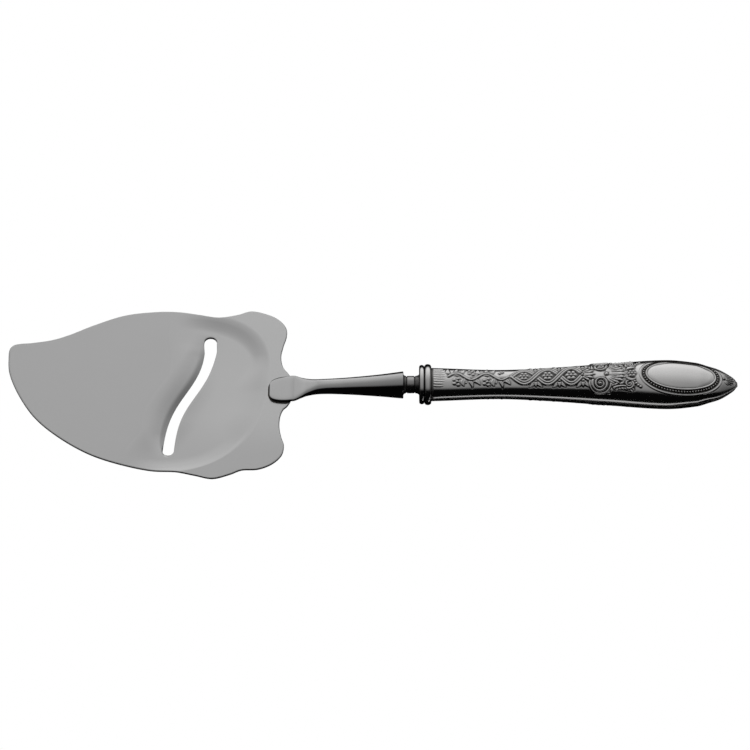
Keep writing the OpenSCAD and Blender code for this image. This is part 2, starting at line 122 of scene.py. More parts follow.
class Finish:
    """A node tree under construction: a material's or the world's."""

    def __init__(self, owner):
        owner.use_nodes = True
        self.tree = owner.node_tree
        self.tree.nodes.clear()

    def node(self, kind, settings=None, inputs=None, out=0):
        made = self.tree.nodes.new(kind)
        for name, value in (settings or {}).items():
            if name == "stops":
                self.set_stops(made.color_ramp, value)
            else:
                setattr(made, name, value)
        for key, value in (inputs or {}).items():
            self.feed(made.inputs[key], value)
        return Wire(self, made.outputs[out]) if len(made.outputs) else made

    def feed(self, socket, value):
        if isinstance(value, Wire):
            self.tree.links.new(value.socket, socket)
        else:
            socket.default_value = value

    @staticmethod
    def set_stops(ramp, stops):
        while len(ramp.elements) < len(stops):
            ramp.elements.new(1.0)
        for element, (place, grey) in zip(ramp.elements, stops):
            element.position = place
            element.color = (grey, grey, grey, 1)

    def millimetres(self, stretch=(1, 1, 1)):
        """Object coordinates in millimetres, stretched along the axes."""
        place = self.node("ShaderNodeTexCoord", out=3)
        scale = tuple(s / MM for s in stretch)
        return self.node("ShaderNodeVectorMath", {"operation": "MULTIPLY"}, {0: place, 1: scale})

    def noise(self, where, scale, detail):
        return self.node("ShaderNodeTexNoise", None, {"Vector": where, "Scale": scale, "Detail": detail})

    def blend(self, share, first, second):
        """Mix of two colours."""
        return self.node("ShaderNodeMix", {"data_type": "RGBA"}, {0: share, 6: first, 7: second}, out=2)

    def mask(self, name):
        """A number that the mesh carries on its points."""
        return self.node("ShaderNodeAttribute", {"attribute_name": name}, out=2)

    def bump(self, strength, depth, height):
        """A normal tipped by a height, with the depth in millimetres."""
        sockets = {"Strength": strength, "Distance": depth * MM, "Height": height}
        return self.node("ShaderNodeBump", None, sockets)

    def metal(self, **sockets):
        """The tree's surface: a metal with these sockets set."""
        surface = self.node("ShaderNodeBsdfPrincipled", None, {"Metallic": 1.0} | sockets)
        self.node("ShaderNodeOutputMaterial", None, {"Surface": surface})


def new_finish(name):
    material = bpy.data.materials.new(name)
    return material, Finish(material)


def grey(value, warmth=0.0):
    return (value + warmth, value, value - warmth, 1)


print("shader helpers ready")

# %% [markdown]
# ## Finishes
# The blade is satin steel: a fine grain left by a belt, so its gloss is broad. The stem is polished, with
# only hairlines. The silver is bright on its high parts and dark with oxide in its hollows, which is how
# relief reads on old silver. A number on the silver meshes says where the oxide stays, and also where
# shade is painted: behind the ferrule, along the oval's far side and over the collar.

# %% Satin steel of the blade


def satin_steel(name, tone, gloss):
    material, finish = new_finish(name)
    grain = finish.noise(finish.millimetres((0.12, 5.0, 1.0)), scale=1.0, detail=4.0)
    clouds = finish.noise(finish.millimetres(), scale=0.06, detail=3.0)
    flecks = finish.noise(finish.millimetres((0.5, 9.0, 1.0)), scale=1.0, detail=1.0)
    polish = finish.mask("polish")
    worn = finish.blend(0.6 * clouds + 0.4 * grain, grey(tone - 0.03), grey(tone + 0.03))
    # Painted sheen: where its mask is set, the steel is painted lighter.
    colour = finish.blend(polish, worn, grey(tone + 0.075))
    sheared = finish.mask("sheared")
    roughness = gloss + 0.08 * grain + 0.06 * clouds + 0.4 * sheared
    bump = finish.bump(strength=0.12, depth=0.02, height=grain + flecks)
    finish.metal(**{"Base Color": colour, "Roughness": roughness, "Normal": bump})
    return material


blade_steel = satin_steel("blade_satin_steel", tone=0.625, gloss=0.15)
print("made", blade_steel.name)

# %% Polished steel of the stem


def polished_steel(name, tone, gloss):
    material, finish = new_finish(name)
    hairlines = finish.noise(finish.millimetres((0.3, 7.0, 7.0)), scale=1.0, detail=3.0)
    clouds = finish.noise(finish.millimetres(), scale=0.15, detail=3.0)
    soot = finish.mask("soot")
    clean = finish.blend(clouds, grey(tone - 0.03), grey(tone + 0.02))
    # Painted shade: where its mask is set, the steel is painted near black.
    colour = finish.blend(soot, clean, grey(0.015))
    bump = finish.bump(strength=0.06, depth=0.02, height=hairlines)
    roughness = gloss + 0.06 * hairlines + 0.04 * clouds + 0.4 * soot
    finish.metal(**{"Base Color": colour, "Roughness": roughness, "Normal": bump})
    return material


stem_steel = polished_steel("stem_polished_steel", tone=0.62, gloss=0.07)
print("made", stem_steel.name)

# %% Silver with oxide in its hollows and painted shade


def oxidised_silver(name, tone, gloss):
    material, finish = new_finish(name)
    hollow = finish.mask("hollow")
    clouds = finish.noise(finish.millimetres(), scale=0.35, detail=4.0)
    hairlines = finish.noise(finish.millimetres((0.6, 4.0, 4.0)), scale=1.0, detail=3.0)
    # The mask paints the silver dark: oxide in its hollows, and painted shade on the shells and the
    # collar.
    oxide_and_painted_shade = (hollow * (0.75 + 0.5 * clouds)).clamped()
    bright = finish.blend(clouds, grey(tone - 0.03, 0.008), grey(tone + 0.02, 0.006))
    colour = finish.blend(oxide_and_painted_shade, bright, grey(0.022, 0.003))
    bump = finish.bump(strength=0.05, depth=0.02, height=hairlines)
    roughness = gloss + 0.07 * clouds + 0.04 * hairlines + 0.35 * oxide_and_painted_shade
    finish.metal(**{"Base Color": colour, "Roughness": roughness, "Normal": bump})
    return material


silver = oxidised_silver("handle_oxidised_silver", tone=0.84, gloss=0.08)
print("made", silver.name)

# %% Braze, solder and cement


def dull_solder(name, tone):
    material, finish = new_finish(name)
    pits = finish.noise(finish.millimetres(), scale=3.0, detail=4.0)
    colour = finish.blend(pits, grey(tone - 0.1, 0.01), grey(tone + 0.05, 0.01))
    finish.metal(**{"Base Color": colour, "Roughness": 0.35 + 0.25 * pits})
    return material


def handle_cement(name):
    material, finish = new_finish(name)
    grit = finish.noise(finish.millimetres(), scale=1.6, detail=6.0)
    colour = finish.blend(grit, (0.06, 0.045, 0.035, 1), (0.2, 0.16, 0.12, 1))
    bump = finish.bump(strength=0.5, depth=0.2, height=grit)
    roughness = 0.75 + 0.2 * grit
    finish.metal(**{"Metallic": 0.0, "Base Color": colour, "Roughness": roughness, "Normal": bump})
    return material


def refinish(node, material):
    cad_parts[node].data.materials.clear()
    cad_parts[node].data.materials.append(material)


refinish("seam_solder", dull_solder("seam_silver_solder", tone=0.4))
refinish("cement_core", handle_cement("handle_cement"))
print("refinished the solder and the cement")

# %% [markdown]
# ## From points to a piece
# Most pieces here are loops of points joined into a skin. The functions below join the points, see that
# the skin faces outwards by the sign of its volume, put numbers on its points for the materials, and make
# the object, which rides on the tool's only body and hides the solid it stands for.

# %% Skins and pieces


def skin(rows, columns, closed=False, first=0):
    """Quads between the points of a grid; a closed grid's last column meets its first."""
    r, c = np.meshgrid(np.arange(rows - 1), np.arange(columns if closed else columns - 1), indexing="ij")
    n = (c + 1) % columns
    here, ahead = r * columns, (r + 1) * columns
    quads = np.stack([here + c, here + n, ahead + n, ahead + c], -1)
    return (quads.reshape(-1, 4) + first).tolist()


def plugged(loops):
    """Faces of closed loops of points in a row, with a flat face on the first and on the last."""
    size, last = len(loops[0]), (len(loops) - 1) * len(loops[0])
    ends = [list(range(size))[::-1], [last + i for i in range(size)]]
    return skin(len(loops), size, closed=True) + ends


def hooped(loops):
    """Faces of closed loops of points in a row, with the last loop joined to the first."""
    size, last = len(loops[0]), (len(loops) - 1) * len(loops[0])
    joint = [[last + i, last + (i + 1) % size, (i + 1) % size, i] for i in range(size)]
    return skin(len(loops), size, closed=True) + joint


def volume(points, faces):
    total = 0.0
    for face in faces:
        corner = points[face]
        fan = np.cross(corner[1:-1], corner[2:])
        total += float((fan @ corner[0]).sum())
    return total / 6


def outward_mesh(name, points, faces, material, sharp_angle):
    """A mesh of points in millimetres, turned to face outwards, smooth but for edges over an angle."""
    points = np.asarray(points, float)
    if volume(points, faces) < 0:
        faces = [face[::-1] for face in faces]
    mesh = bpy.data.meshes.new(name)
    mesh.from_pydata((points * MM).tolist(), [], faces)
    mesh.materials.append(material)
    mesh.shade_smooth()
    mesh.set_sharp_from_angle(angle=math.radians(sharp_angle))
    return mesh


def mark(mesh, label, values):
    """Put a number on each point of the mesh."""
    values = np.asarray(values, np.float32)
    mesh.attributes.new(label, "FLOAT", "POINT").data.foreach_set("value", values)


def linked(name, data):
    """A new object in the scene."""
    made = bpy.data.objects.new(name, data)
    bpy.context.scene.collection.objects.link(made)
    return made


def piece(name, mesh, slot, *nodes):
    made = linked(name, mesh)
    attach(made, "root")
    if nodes:
        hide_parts(*nodes)
    mesh.calc_loop_triangles()
    print(f"{name}: {len(mesh.vertices)} points, {len(mesh.loop_triangles)} triangles")
    return made


def ease(start, end, value):
    """Smooth step from 0 at start to 1 at end."""
    t = np.clip((value - start) / (end - start), 0, 1)
    return t * t * (3 - 2 * t)


def follow(table, place, column):
    """A column of a table at the given places, joined by smooth cubics."""
    table = np.asarray(table, float)
    knots, values = table[:, 0], table[:, column]
    slopes = np.empty(len(knots))
    slopes[1:-1] = (values[2:] - values[:-2]) / (knots[2:] - knots[:-2])
    slopes[0] = (values[1] - values[0]) / (knots[1] - knots[0])
    slopes[-1] = (values[-1] - values[-2]) / (knots[-1] - knots[-2])
    i = np.clip(np.searchsorted(knots, place, side="right") - 1, 0, len(knots) - 2)
    h = knots[i + 1] - knots[i]
    t = np.clip((place - knots[i]) / h, 0, 1)
    return ((2 * t**3 - 3 * t**2 + 1) * values[i] + (t**3 - 2 * t**2 + t) * h * slopes[i]
            + (3 * t**2 - 2 * t**3) * values[i + 1] + (t**3 - t**2) * h * slopes[i + 1])


print("mesh helpers ready")

# %% [markdown]
# ## The blade
# A leaf is punched from sheet, the slot is cut, and a press then sinks a shallow dish behind the slot and
# bends the strip in front of it down into a cutting lip. A flat sheet with a bump map would lose the lip,
# so the sheet is a net of rays from the slot's edge to the leaf's outline, and one formula gives each
# point's depth. The lip's edge is ground to a bevel, and every other edge is rounded over.

# %% The leaf's outline and the slot
blade_len = 90.3
blade_w = 67.2
blade_t = 0.8
bevel_w = 1.7
edge_t = 0.2
slot_len = 46.8
slot_w = 3.55
slot_back = 31.7
slot_side = -1.0
slot_sway = 6.2
slot_bend = 1.75
slot_eye = 0.15
slot_hook = 0.5
slot_turn = 0.03
slot_half = (slot_len - slot_w) / 2

# Shares of the length in front of the root and of the width, from the slot's top round the root
leaf = np.array([
    [0.26, 0.453], [0.195, 0.468], [0.145, 0.49], [0.088, 0.47], [0.048, 0.438],
    [0.021, 0.388], [0.018, 0.334], [0.029, 0.272], [0.036, 0.21], [0.028, 0.148],
    [0.006, 0.102], [-0.006, 0.045], [-0.006, -0.03], [0.009, -0.08], [0.025, -0.106],
    [0.035, -0.148], [0.037, -0.204], [0.03, -0.262], [0.02, -0.313], [0.027, -0.371],
    [0.06, -0.421], [0.107, -0.45], [0.162, -0.455], [0.205, -0.481], [0.263, -0.504],
    [0.325, -0.485], [0.395, -0.464], [0.48, -0.457], [0.59, -0.42], [0.698, -0.36],
    [0.804, -0.264], [0.89, -0.153], [0.952, -0.021], [0.991, 0.107], [1, 0.208],
    [0.998, 0.257], [0.984, 0.282], [0.957, 0.29], [0.923, 0.294], [0.852, 0.312],
    [0.788, 0.346], [0.705, 0.404], [0.599, 0.463], [0.492, 0.485], [0.408, 0.485],
    [0.33, 0.468]]) * [-blade_len, blade_w]


def leaf_point(turn):
    """Points on the outline, where turn counts the leaf's points."""
    n = len(leaf)
    i = np.floor(turn).astype(int)
    t = (turn - i)[:, None]
    a, b, c, d = (leaf[(i + k) % n] for k in (-1, 0, 1, 2))
    bend, twist = 2 * a - 5 * b + 4 * c - d, 3 * b - a - 3 * c + d
    return 0.5 * (2 * b + (c - a) * t + bend * t**2 + twist * t**3)


def slot_mid(v):
    sway = slot_sway * np.tanh(slot_bend * (v - slot_turn)) / math.tanh(slot_bend)
    hooked = sway - slot_hook * ease(0.8, 1, v)
    return np.stack([hooked - slot_back, slot_side + v * slot_half], -1)


def slot_edge(v, angle):
    """Points on the slot's edge; angle 0 faces the handle and 180 the tip."""
    along = slot_mid(v + 0.01) - slot_mid(v - 0.01)
    along /= np.linalg.norm(along, axis=1, keepdims=True)
    c, s = np.cos(np.radians(angle)), np.sin(np.radians(angle))
    out = np.stack([along[:, 1] * c + along[:, 0] * s, along[:, 1] * s - along[:, 0] * c], -1)
    return slot_mid(v) + (slot_w / 2 * (1 + slot_eye * ease(0.5, 1, v)))[:, None] * out


print("leaf", leaf.min(0).round(1), leaf.max(0).round(1))

# %% How deep the press sinks each point
dish_depth = 0.8
bowl_depth = 0.4
lip_depth = 1.25
lip_w = 9.0
lip_taper = 0.5
lip_fade = 0.3
dish_slope_w = 4.8
dish_back = 7.0
dish_hl = 28.8
dish_top_hw = 25.5
dish_low_hw = 33.2
dish_lean = 0.11
dish_side = 4.4
dish_power = 2.5
dish_fade_w = 16.0
dish_wrap_w = 5.0
dish_low_wrap_w = 6.0
dish_low_skew = 0.55
dish_top_skew = 0.85
dish_top_ease = 0.6
dish_back_ease = 1.5
dish_back_top = 11.0
dish_back_low = -3.0


def pressed(p, in_front):
    half = dish_slope_w / 2
    v = (p[:, Y] - slot_side) / slot_half
    side = p[:, Y] - dish_side
    along = np.maximum(0, 1 + (p[:, X] - dish_lean * side + dish_back + half) / dish_hl)
    across = np.abs(side) / np.where(side > 0, dish_top_hw, dish_low_hw)
    from_middle = (along**dish_power + across**dish_power) ** (1 / dish_power)
    past = p[:, X] - slot_mid(np.clip(v, -1, 1))[:, X]
    above = ease(-dish_slope_w, dish_slope_w, side)
    gentle = ease(0.75, 0.35, across) * ease(dish_back_top, dish_back_low, side)
    slope_w = dish_slope_w * (1 + dish_top_ease * ease(0, dish_top_hw, side) + dish_back_ease * gentle)
    down = np.clip(((1 - from_middle) * dish_hl + half) / slope_w, 0, 1)
    skew = dish_low_skew + (dish_top_skew - dish_low_skew) * above
    sunk = dish_depth * ease(0, 1, down**skew) + bowl_depth * np.maximum(0, 1 - from_middle**2)
    wrap = dish_wrap_w * ease(-0.2, 1.1, v) + dish_low_wrap_w * ease(-0.45, -1.25, v)
    dish = sunk * ease(-dish_fade_w / 2, dish_fade_w / 2, past + wrap)
    bend_w = lip_w * (1 - lip_taper * np.minimum(1, v * v))
    bend = np.maximum(0, 1 - np.maximum(0, -past - slot_w / 2) / bend_w)
    lip = ease(1 + lip_fade / 2, 1 - lip_fade, np.abs(v)) * bend**2 * in_front
    return dish + (lip_depth - dish) * lip


print("lip", lip_depth, "mm below the sole")

# %% The net of rays
side_rays = 190
end_rays = 26
top_rings = 110
sole_rings = 40
leaf_top_back = 0.5
leaf_low_back = 24.0
leaf_low_front = 26.5
leaf_top_front = 44.0
rim_r = 0.38
rim_steps = 4


def blade_rays():
    """Slot points, outline points, how far each ray belongs to the lip, and its share of the bevel."""
    s, e = np.arange(side_rays) / side_rays, np.arange(end_rays) / end_rays
    turn_end = len(leaf) + leaf_top_back
    inner = np.concatenate([slot_edge(1 - 2 * s, 0 * s), slot_edge(-1 + 0 * e, -180 * e),
                            slot_edge(2 * s - 1, 180 + 0 * s), slot_edge(1 + 0 * e, 180 - 180 * e)])
    turns = np.concatenate([leaf_top_back + s * (leaf_low_back - leaf_top_back),
                            leaf_low_back + e * (leaf_low_front - leaf_low_back),
                            leaf_low_front + s * (leaf_top_front - leaf_low_front),
                            leaf_top_front + e * (turn_end - leaf_top_front)])
    in_front = np.concatenate([0 * s, ease(0.2, 0.8, e), 1 + 0 * s, ease(0.8, 0.2, e)])
    bevel = np.concatenate([0 * s, np.maximum(0, 2 * e - 1), ease(0.98, 0.5, 2 * s - 1), 0 * e])
    return inner, leaf_point(turns), in_front, bevel


inner, outer, in_front, bevel = blade_rays()
rays = len(inner)
span = outer - inner
reach = np.linalg.norm(span, axis=1)


def ring(distance_in, distance_out, share):
    """Points on all rays between a margin at the slot and a margin at the outline."""
    first, last = distance_in / reach, 1 - distance_out / reach
    return inner + span * (first + (last - first) * share)[:, None]


def sole(p):
    return np.column_stack([p, -pressed(p, in_front)])


def sheet_rings(count):
    """Rings of the sole from the bevel's back to the rim."""
    return [sole(ring(bevel_w, rim_r, s + 0 * reach)) for s in np.linspace(0, 1, count)]


low = sheet_rings(sole_rings)
high = [loop + [0, 0, blade_t] for loop in sheet_rings(top_rings)]

# Rounded outer rim, from the upper face down to the sole
rim = []
for k in range(1, 2 * rim_steps):
    angle = math.pi * k / (2 * rim_steps)
    loop = sole(ring(bevel_w, rim_r * (1 - math.sin(angle)), 1 + 0 * reach))
    rim.append(loop + [0, 0, blade_t / 2 * (1 + math.cos(angle))])

# Slot wall: a bevel that rolls over on the lip's side, and a rounded edge on the handle's side.
# Each step is a distance from the slot and how far the rounded edge has dropped there.
wall = []
wall_steps = ((0.0, 0.12), (0.12, 0.03), (0.35, 0.0), (0.7, 0.0), (1.1, 0.0))
bevel_roll = 1.5
ground = bevel * (blade_t - edge_t)
for margin, drop in wall_steps:
    lip_z = blade_t - ground * (1 - margin / bevel_w) ** bevel_roll
    loop = sole(ring(margin, 0, 0 * reach))
    loop[:, Z] += np.minimum(lip_z, blade_t - drop)
    wall.append(loop)

loops = wall + high + rim + low[::-1] + [sole(ring(0.0, 0, 0 * reach))]
points = np.concatenate(loops)
blade_mesh = outward_mesh("pressed_blade", points, hooped(loops), blade_steel, sharp_angle=18)

# The punched rim is dull. Painted sheen: the steel from the slot to the stem is painted lighter
# than the tip.
punched = [float(any(loop is edge for edge in rim)) for loop in loops]
painted_sheen_x, painted_sheen_y = (-42, -20), (-26, -8)
mark(blade_mesh, "sheared", np.repeat(punched, rays))
mark(blade_mesh, "polish", ease(*painted_sheen_x, points[:, X]) * ease(*painted_sheen_y, points[:, Y]))
piece("pressed_blade", blade_mesh, "blade_steel", "blade")

# %% [markdown]
# ## The stem
# The stem is forged from one bar: a flat tongue that lies on the blade, an oval shaft that swells to a
# flat shoulder, and a tang that runs into the handle. A lofted skin follows it, with a rounded section
# whose squareness falls from the tongue to the shoulder.

# %% Loft the stem
tongue_len = -tongue_x
tongue_t = 0.95
tongue_hw = 4.9
tongue_side = 0.75
tongue_skew = 0.85
braze_t = 0.15
slim_hw = 2.44
slim_hh = 1.85
slim_z = 3.35
shoulder_hw = 4.2
shoulder_hh = 4.3
shoulder_drop = 0.2
tang_r = 1.9
root_swell = 0.05
flare_x = 8.8
tongue_hh = tongue_t / 2
tongue_z = blade_t + braze_t + tongue_hh
flare_hw = tongue_hw - slim_hw
swell_hw = shoulder_hw - slim_hw
rise_hh = slim_hh - tongue_hh
rise_z = slim_z - tongue_z
shoulder_z = axis_z - shoulder_drop
lift_z = shoulder_z - slim_z
shaft_len = shoulder_x - flare_x

# Place, half width, half height, middle height and squareness
stem_table = [
    [-tongue_len, 0.3 * tongue_hw, tongue_hh, tongue_z, 7],
    [-0.97 * tongue_len, 0.48 * tongue_hw, tongue_hh, tongue_z, 7],
    [-0.92 * tongue_len, 0.64 * tongue_hw, tongue_hh, tongue_z, 7],
    [-0.82 * tongue_len, 0.78 * tongue_hw, tongue_hh, tongue_z, 7],
    [-0.6 * tongue_len, 0.91 * tongue_hw, tongue_hh, tongue_z, 7],
    [-0.3 * tongue_len, 0.98 * tongue_hw, tongue_hh, tongue_z, 7],
    [0, tongue_hw, tongue_hh + root_swell, tongue_z + root_swell, 6],
    [0.15 * flare_x, 0.98 * tongue_hw, tongue_hh + 0.09 * rise_hh, tongue_z + 0.1 * rise_z, 5],
    [0.36 * flare_x, slim_hw + 0.6 * flare_hw, tongue_hh + 0.29 * rise_hh, tongue_z + 0.31 * rise_z, 4],
    [0.6 * flare_x, slim_hw + 0.25 * flare_hw, tongue_hh + 0.6 * rise_hh, tongue_z + 0.64 * rise_z, 3.2],
    [flare_x, slim_hw, slim_hh, slim_z, 2.6],
    [flare_x + 0.3 * shaft_len, slim_hw + 0.1 * swell_hw, 0.55 * shoulder_hh,
     slim_z + 0.35 * lift_z, 2.3],
    [flare_x + 0.7 * shaft_len, slim_hw + 0.54 * swell_hw, 0.77 * shoulder_hh,
     slim_z + 0.68 * lift_z, 2.15],
    [shoulder_x, shoulder_hw, shoulder_hh, shoulder_z, 2.1]]
stem_sides = 72
stem_steps = 220
stem_round = 0.25
stem_angle = np.arange(stem_sides) / stem_sides * 2 * math.pi


def section(half_w, half_h, power, angle):
    """Places across and up on an oval, which is squarer for a larger power."""
    c, s = np.cos(angle), np.sin(angle)
    y = half_w * np.sign(c) * np.abs(c) ** (2 / power)
    z = half_h * np.sign(s) * np.abs(s) ** (2 / power)
    return y, z


def stem_side(x):
    """Sideways place of the stem's middle."""
    return tongue_side * ease(flare_x, 0, x) * (1 + tongue_skew * np.minimum(0, x) / tongue_len)


def stem_ring(x, inset=0.0, at=None):
    """A loop with the section of place x, made smaller by an inset and put at another place if given."""
    half_w, half_h, mid, power = (float(follow(stem_table, np.array([x]), k)[0]) for k in (1, 2, 3, 4))
    y, z = section(half_w - inset, half_h - inset, power, stem_angle)
    return np.column_stack([np.full(stem_sides, x if at is None else at), stem_side(x) + y, mid + z])


def tang_ring(x, radius):
    y, z = radius * np.cos(stem_angle), axis_z + radius * np.sin(stem_angle)
    return np.column_stack([np.full(stem_sides, x), y, z])


# The tongue's end and the shoulder's edge are rounded over, and the tang's tip is chamfered
corner_steps = 4
end_bulge = 0.2
end_run = 0.06
crowding = 1.3
tang_chamfer = 0.5
corner_angles = [math.pi / 2 * k / corner_steps for k in range(corner_steps + 1)]
loops = []
for angle in corner_angles[:-1]:
    ahead = end_bulge * stem_round * (1 - math.cos(angle))
    loops.append(stem_ring(-tongue_len, stem_round * (1 - math.sin(angle)), ahead - tongue_len))
first_x, last_x = end_run - tongue_len, shoulder_x - stem_round
for share in np.linspace(0, 1, stem_steps) ** crowding:
    loops.append(stem_ring(first_x + (last_x - first_x) * share))
for angle in corner_angles[1:]:
    short = stem_round * (1 - math.sin(angle))
    loops.append(stem_ring(shoulder_x, stem_round * (1 - math.cos(angle)), shoulder_x - short))
loops.append(tang_ring(shoulder_x, tang_r))
loops.append(tang_ring(tang_end_x - tang_chamfer, tang_r))
loops.append(tang_ring(tang_end_x, tang_r - tang_chamfer))
points = np.concatenate(loops)
stem_mesh = outward_mesh("stem", points, plugged(loops), stem_steel, sharp_angle=40)

# Painted shade: the tongue's wall and under side are painted dark. Over the blade the painted shade
# also takes in the upper edge on the far side and at the end.
wall_shade_x, edge_shade_x = (4.5, 1.5), (-1.0, -3.5)
wall_share, edge_share, end_reach, low_z = (0.93, 0.985), (0.88, 0.95), (0.4, 0.12), tongue_z - 0.2
x, y, z = points.T
widest = np.repeat([np.ptp(loop[:, Y]) / 2 for loop in loops], stem_sides)
aside = y - stem_side(x)
off_middle = np.abs(aside) / widest
on_wall = np.maximum(ease(*wall_share, off_middle), ease(tongue_z, low_z, z))
far_edge = ease(*edge_share, off_middle) * (aside > 0)
end_edge = ease(*end_reach, x + tongue_len)
on_edge = np.maximum(far_edge, end_edge)
soot = np.maximum(on_wall * ease(*wall_shade_x, x), on_edge * ease(*edge_shade_x, x))
mark(stem_mesh, "soot", soot)
piece("forged_stem", stem_mesh, "stem_steel", "stem")

# %% [markdown]
# ## The braze under the tongue
# Braze fills the joint between the tongue and the blade, and a little of it stands round the tongue as
# a dark fillet. The solid is only the flat film, so the film gets a rim here that climbs the tongue's
# wall.

# %% Braze film with its rim
braze_points = 60
braze_back = -0.3
braze_x = -tongue_len + (braze_back + tongue_len) * np.linspace(0, 1, braze_points) ** 2
braze_half = follow(stem_table, braze_x, 1)
half_line = np.column_stack([braze_x, braze_half])
outline = np.concatenate([half_line[::-1], half_line * [1, -1]])
outline[:, Y] += stem_side(outline[:, X])
heading = np.gradient(outline, axis=0)
outward = np.column_stack([-heading[:, 1], heading[:, 0]]) / np.linalg.norm(heading, axis=1)[:, None]
outward *= np.sign((outward * (outline - outline.mean(0))).sum())

# Steps of the fillet: out from the tongue's outline, and up from the blade
fillet = ((-0.3, 0.0), (0.3, 0.0), (0.12, 0.1), (0.0, 0.3), (-0.3, braze_t))
loops = [np.column_stack([outline + outward * step, np.full(len(outline), blade_t + height)])
         for step, height in fillet]
braze = dull_solder("tongue_braze", tone=0.12)
braze_mesh = outward_mesh("braze_rim", np.concatenate(loops), plugged(loops), braze, sharp_angle=40)
piece("braze_rim", braze_mesh, "braze", "braze_pad")

# %% [markdown]
# ## Collar, cap and ferrule
# These three are turned on a lathe, so each is a profile of radius against place, spun round the axis.
# The cap and the ferrule are then pressed oval to suit the handle's mouth. Their beads are half rounds
# with a sharp groove between them, which is where the oxide gathers.

# %% Turn the rings
mouth_hw = 5.65
mouth_hh = 4.45
mouth_r = (mouth_hw + mouth_hh) / 2
fit = 0.05
shell_t = 0.6
neck_r = 2.75
neck_groove = 0.25
neck_flare = 0.6
neck_len = cap_x - shoulder_x
spigot_len = 2.2
tang_bore = tang_r + fit
ferrule_bore = mouth_r + fit * mouth_r / mouth_hh
cap_r = 6.0
ferrule_r = 6.25
ring_wall = 0.3
bead_base = ferrule_bore + ring_wall
lathe_sides = 128


def turned(name, profile, node, oxide_and_painted_shade, pressed_oval=(1.0, 1.0)):
    """Spin a closed profile of radius and place, pressed oval across and upwards.

    The fourth argument says how dark each point is: oxide, and on the collar painted shade.
    pressed_oval is one pair of factors, or a pair for each point.
    """
    profile = np.asarray(profile, float)
    angle = np.arange(lathe_sides) / lathe_sides * 2 * math.pi
    factors = np.broadcast_to(pressed_oval, (len(profile), 2))
    rings = []
    for (r, x), (wide, high) in zip(profile, factors):
        y, z = wide * r * np.cos(angle), axis_z + high * r * np.sin(angle)
        rings.append(np.column_stack([np.full(lathe_sides, x), y, z]))
    mesh = outward_mesh(name, np.concatenate(rings), hooped(rings), silver, sharp_angle=35)
    mark(mesh, "hollow", np.repeat(oxide_and_painted_shade, lathe_sides))
    return piece(name, mesh, "silver", node)


def half_round(start, end, base, top, steps=18):
    """Radius and place along the profile of a bead."""
    t = np.linspace(0, math.pi, steps + 1)
    place = (start + end) / 2 - (end - start) / 2 * np.cos(t)
    return np.column_stack([base + (top - base) * np.sin(t), place])


# Shares of the flare, of the groove and of the length
collar_shape = np.array([
    [1, 0, 0], [0.55, 0, 0.03], [0.25, 0, 0.07], [0.07, 0, 0.11], [0, 0, 0.16],
    [0, -1, 0.2], [0, 0, 0.25], [0, 0, 0.66], [0, -1, 0.71], [0, 0, 0.76],
    [0.07, 0, 0.83], [0.25, 0, 0.9], [0.55, 0, 0.96], [1, 0, 1]])
flare_share, groove_share, length_share = collar_shape.T
flared = neck_r + flare_share * neck_flare + groove_share * neck_groove
outside = np.column_stack([flared, shoulder_x + length_share * neck_len])
collar = np.vstack([[tang_bore, shoulder_x], outside, [tang_bore, cap_x]])

# Painted shade: the collar is painted darker, the flares more than the band between the grooves.
band_painted_shade, flare_painted_shade = 0.4, 0.72
on_band = (length_share > 0.22) & (length_share < 0.7)
collar_painted_shade = np.pad(np.where(on_band, band_painted_shade, flare_painted_shade), 1, mode="edge")
turned("turned_collar", collar, "neck_collar", collar_painted_shade)


def in_groove(profile, top):
    """Oxide on a bead: none on its crown, full on its lower flanks."""
    return ease(0.9, 0.55, (profile[:, 0] - bead_base) / (top - bead_base))


face_step = 0.6
mouth_oval = (mouth_hw / mouth_r, mouth_hh / mouth_r)
plug_r = mouth_r - shell_t - fit
plug_oval = ((mouth_hw - shell_t - fit) / plug_r, (mouth_hh - shell_t - fit) / plug_r)
spigot_x = mouth_x + spigot_len
bead = half_round(cap_x, mouth_x, bead_base, cap_r)
cap = np.vstack([[tang_bore, cap_x], [bead_base - face_step, cap_x], bead,
                 [plug_r, mouth_x], [plug_r, spigot_x], [tang_bore, spigot_x]])
cap_oval = [(1, 1)] + [mouth_oval] * (len(bead) + 1) + [plug_oval] * 2 + [(1, 1)]
turned("turned_cap", cap, "mouth_cap", in_groove(cap, cap_r), cap_oval)

bead = half_round(mouth_x, ferrule_back_x, bead_base, ferrule_r)
band = np.vstack([[ferrule_bore, mouth_x], bead, [ferrule_bore, ferrule_back_x]])
turned("turned_ferrule", band, "ferrule", in_groove(band, ferrule_r), mouth_oval)

# %% [markdown]
# ## The handle's form
# Each shell is half of a hollow handle, stamped from sheet. Its section is an oval that narrows to a
# waist, swells to a belly and closes in a blunt point. The net of points is even in length both ways, so
# that the die's pattern can be drawn on it in millimetres: along the handle from its mouth, and across it
# from its crown.

# %% The shells' net
waist_hw = 4.75
waist_hh = 3.95
belly_hw = 8.35
belly_hh = 5.9
seam_t = 0.2
handle_power = 2.2
ferrule_w = ferrule_back_x - mouth_x
tail_solid = 4.5
hollow_len = handle_len - tail_solid
belly_w = belly_hw - waist_hw
belly_h = belly_hh - waist_hh

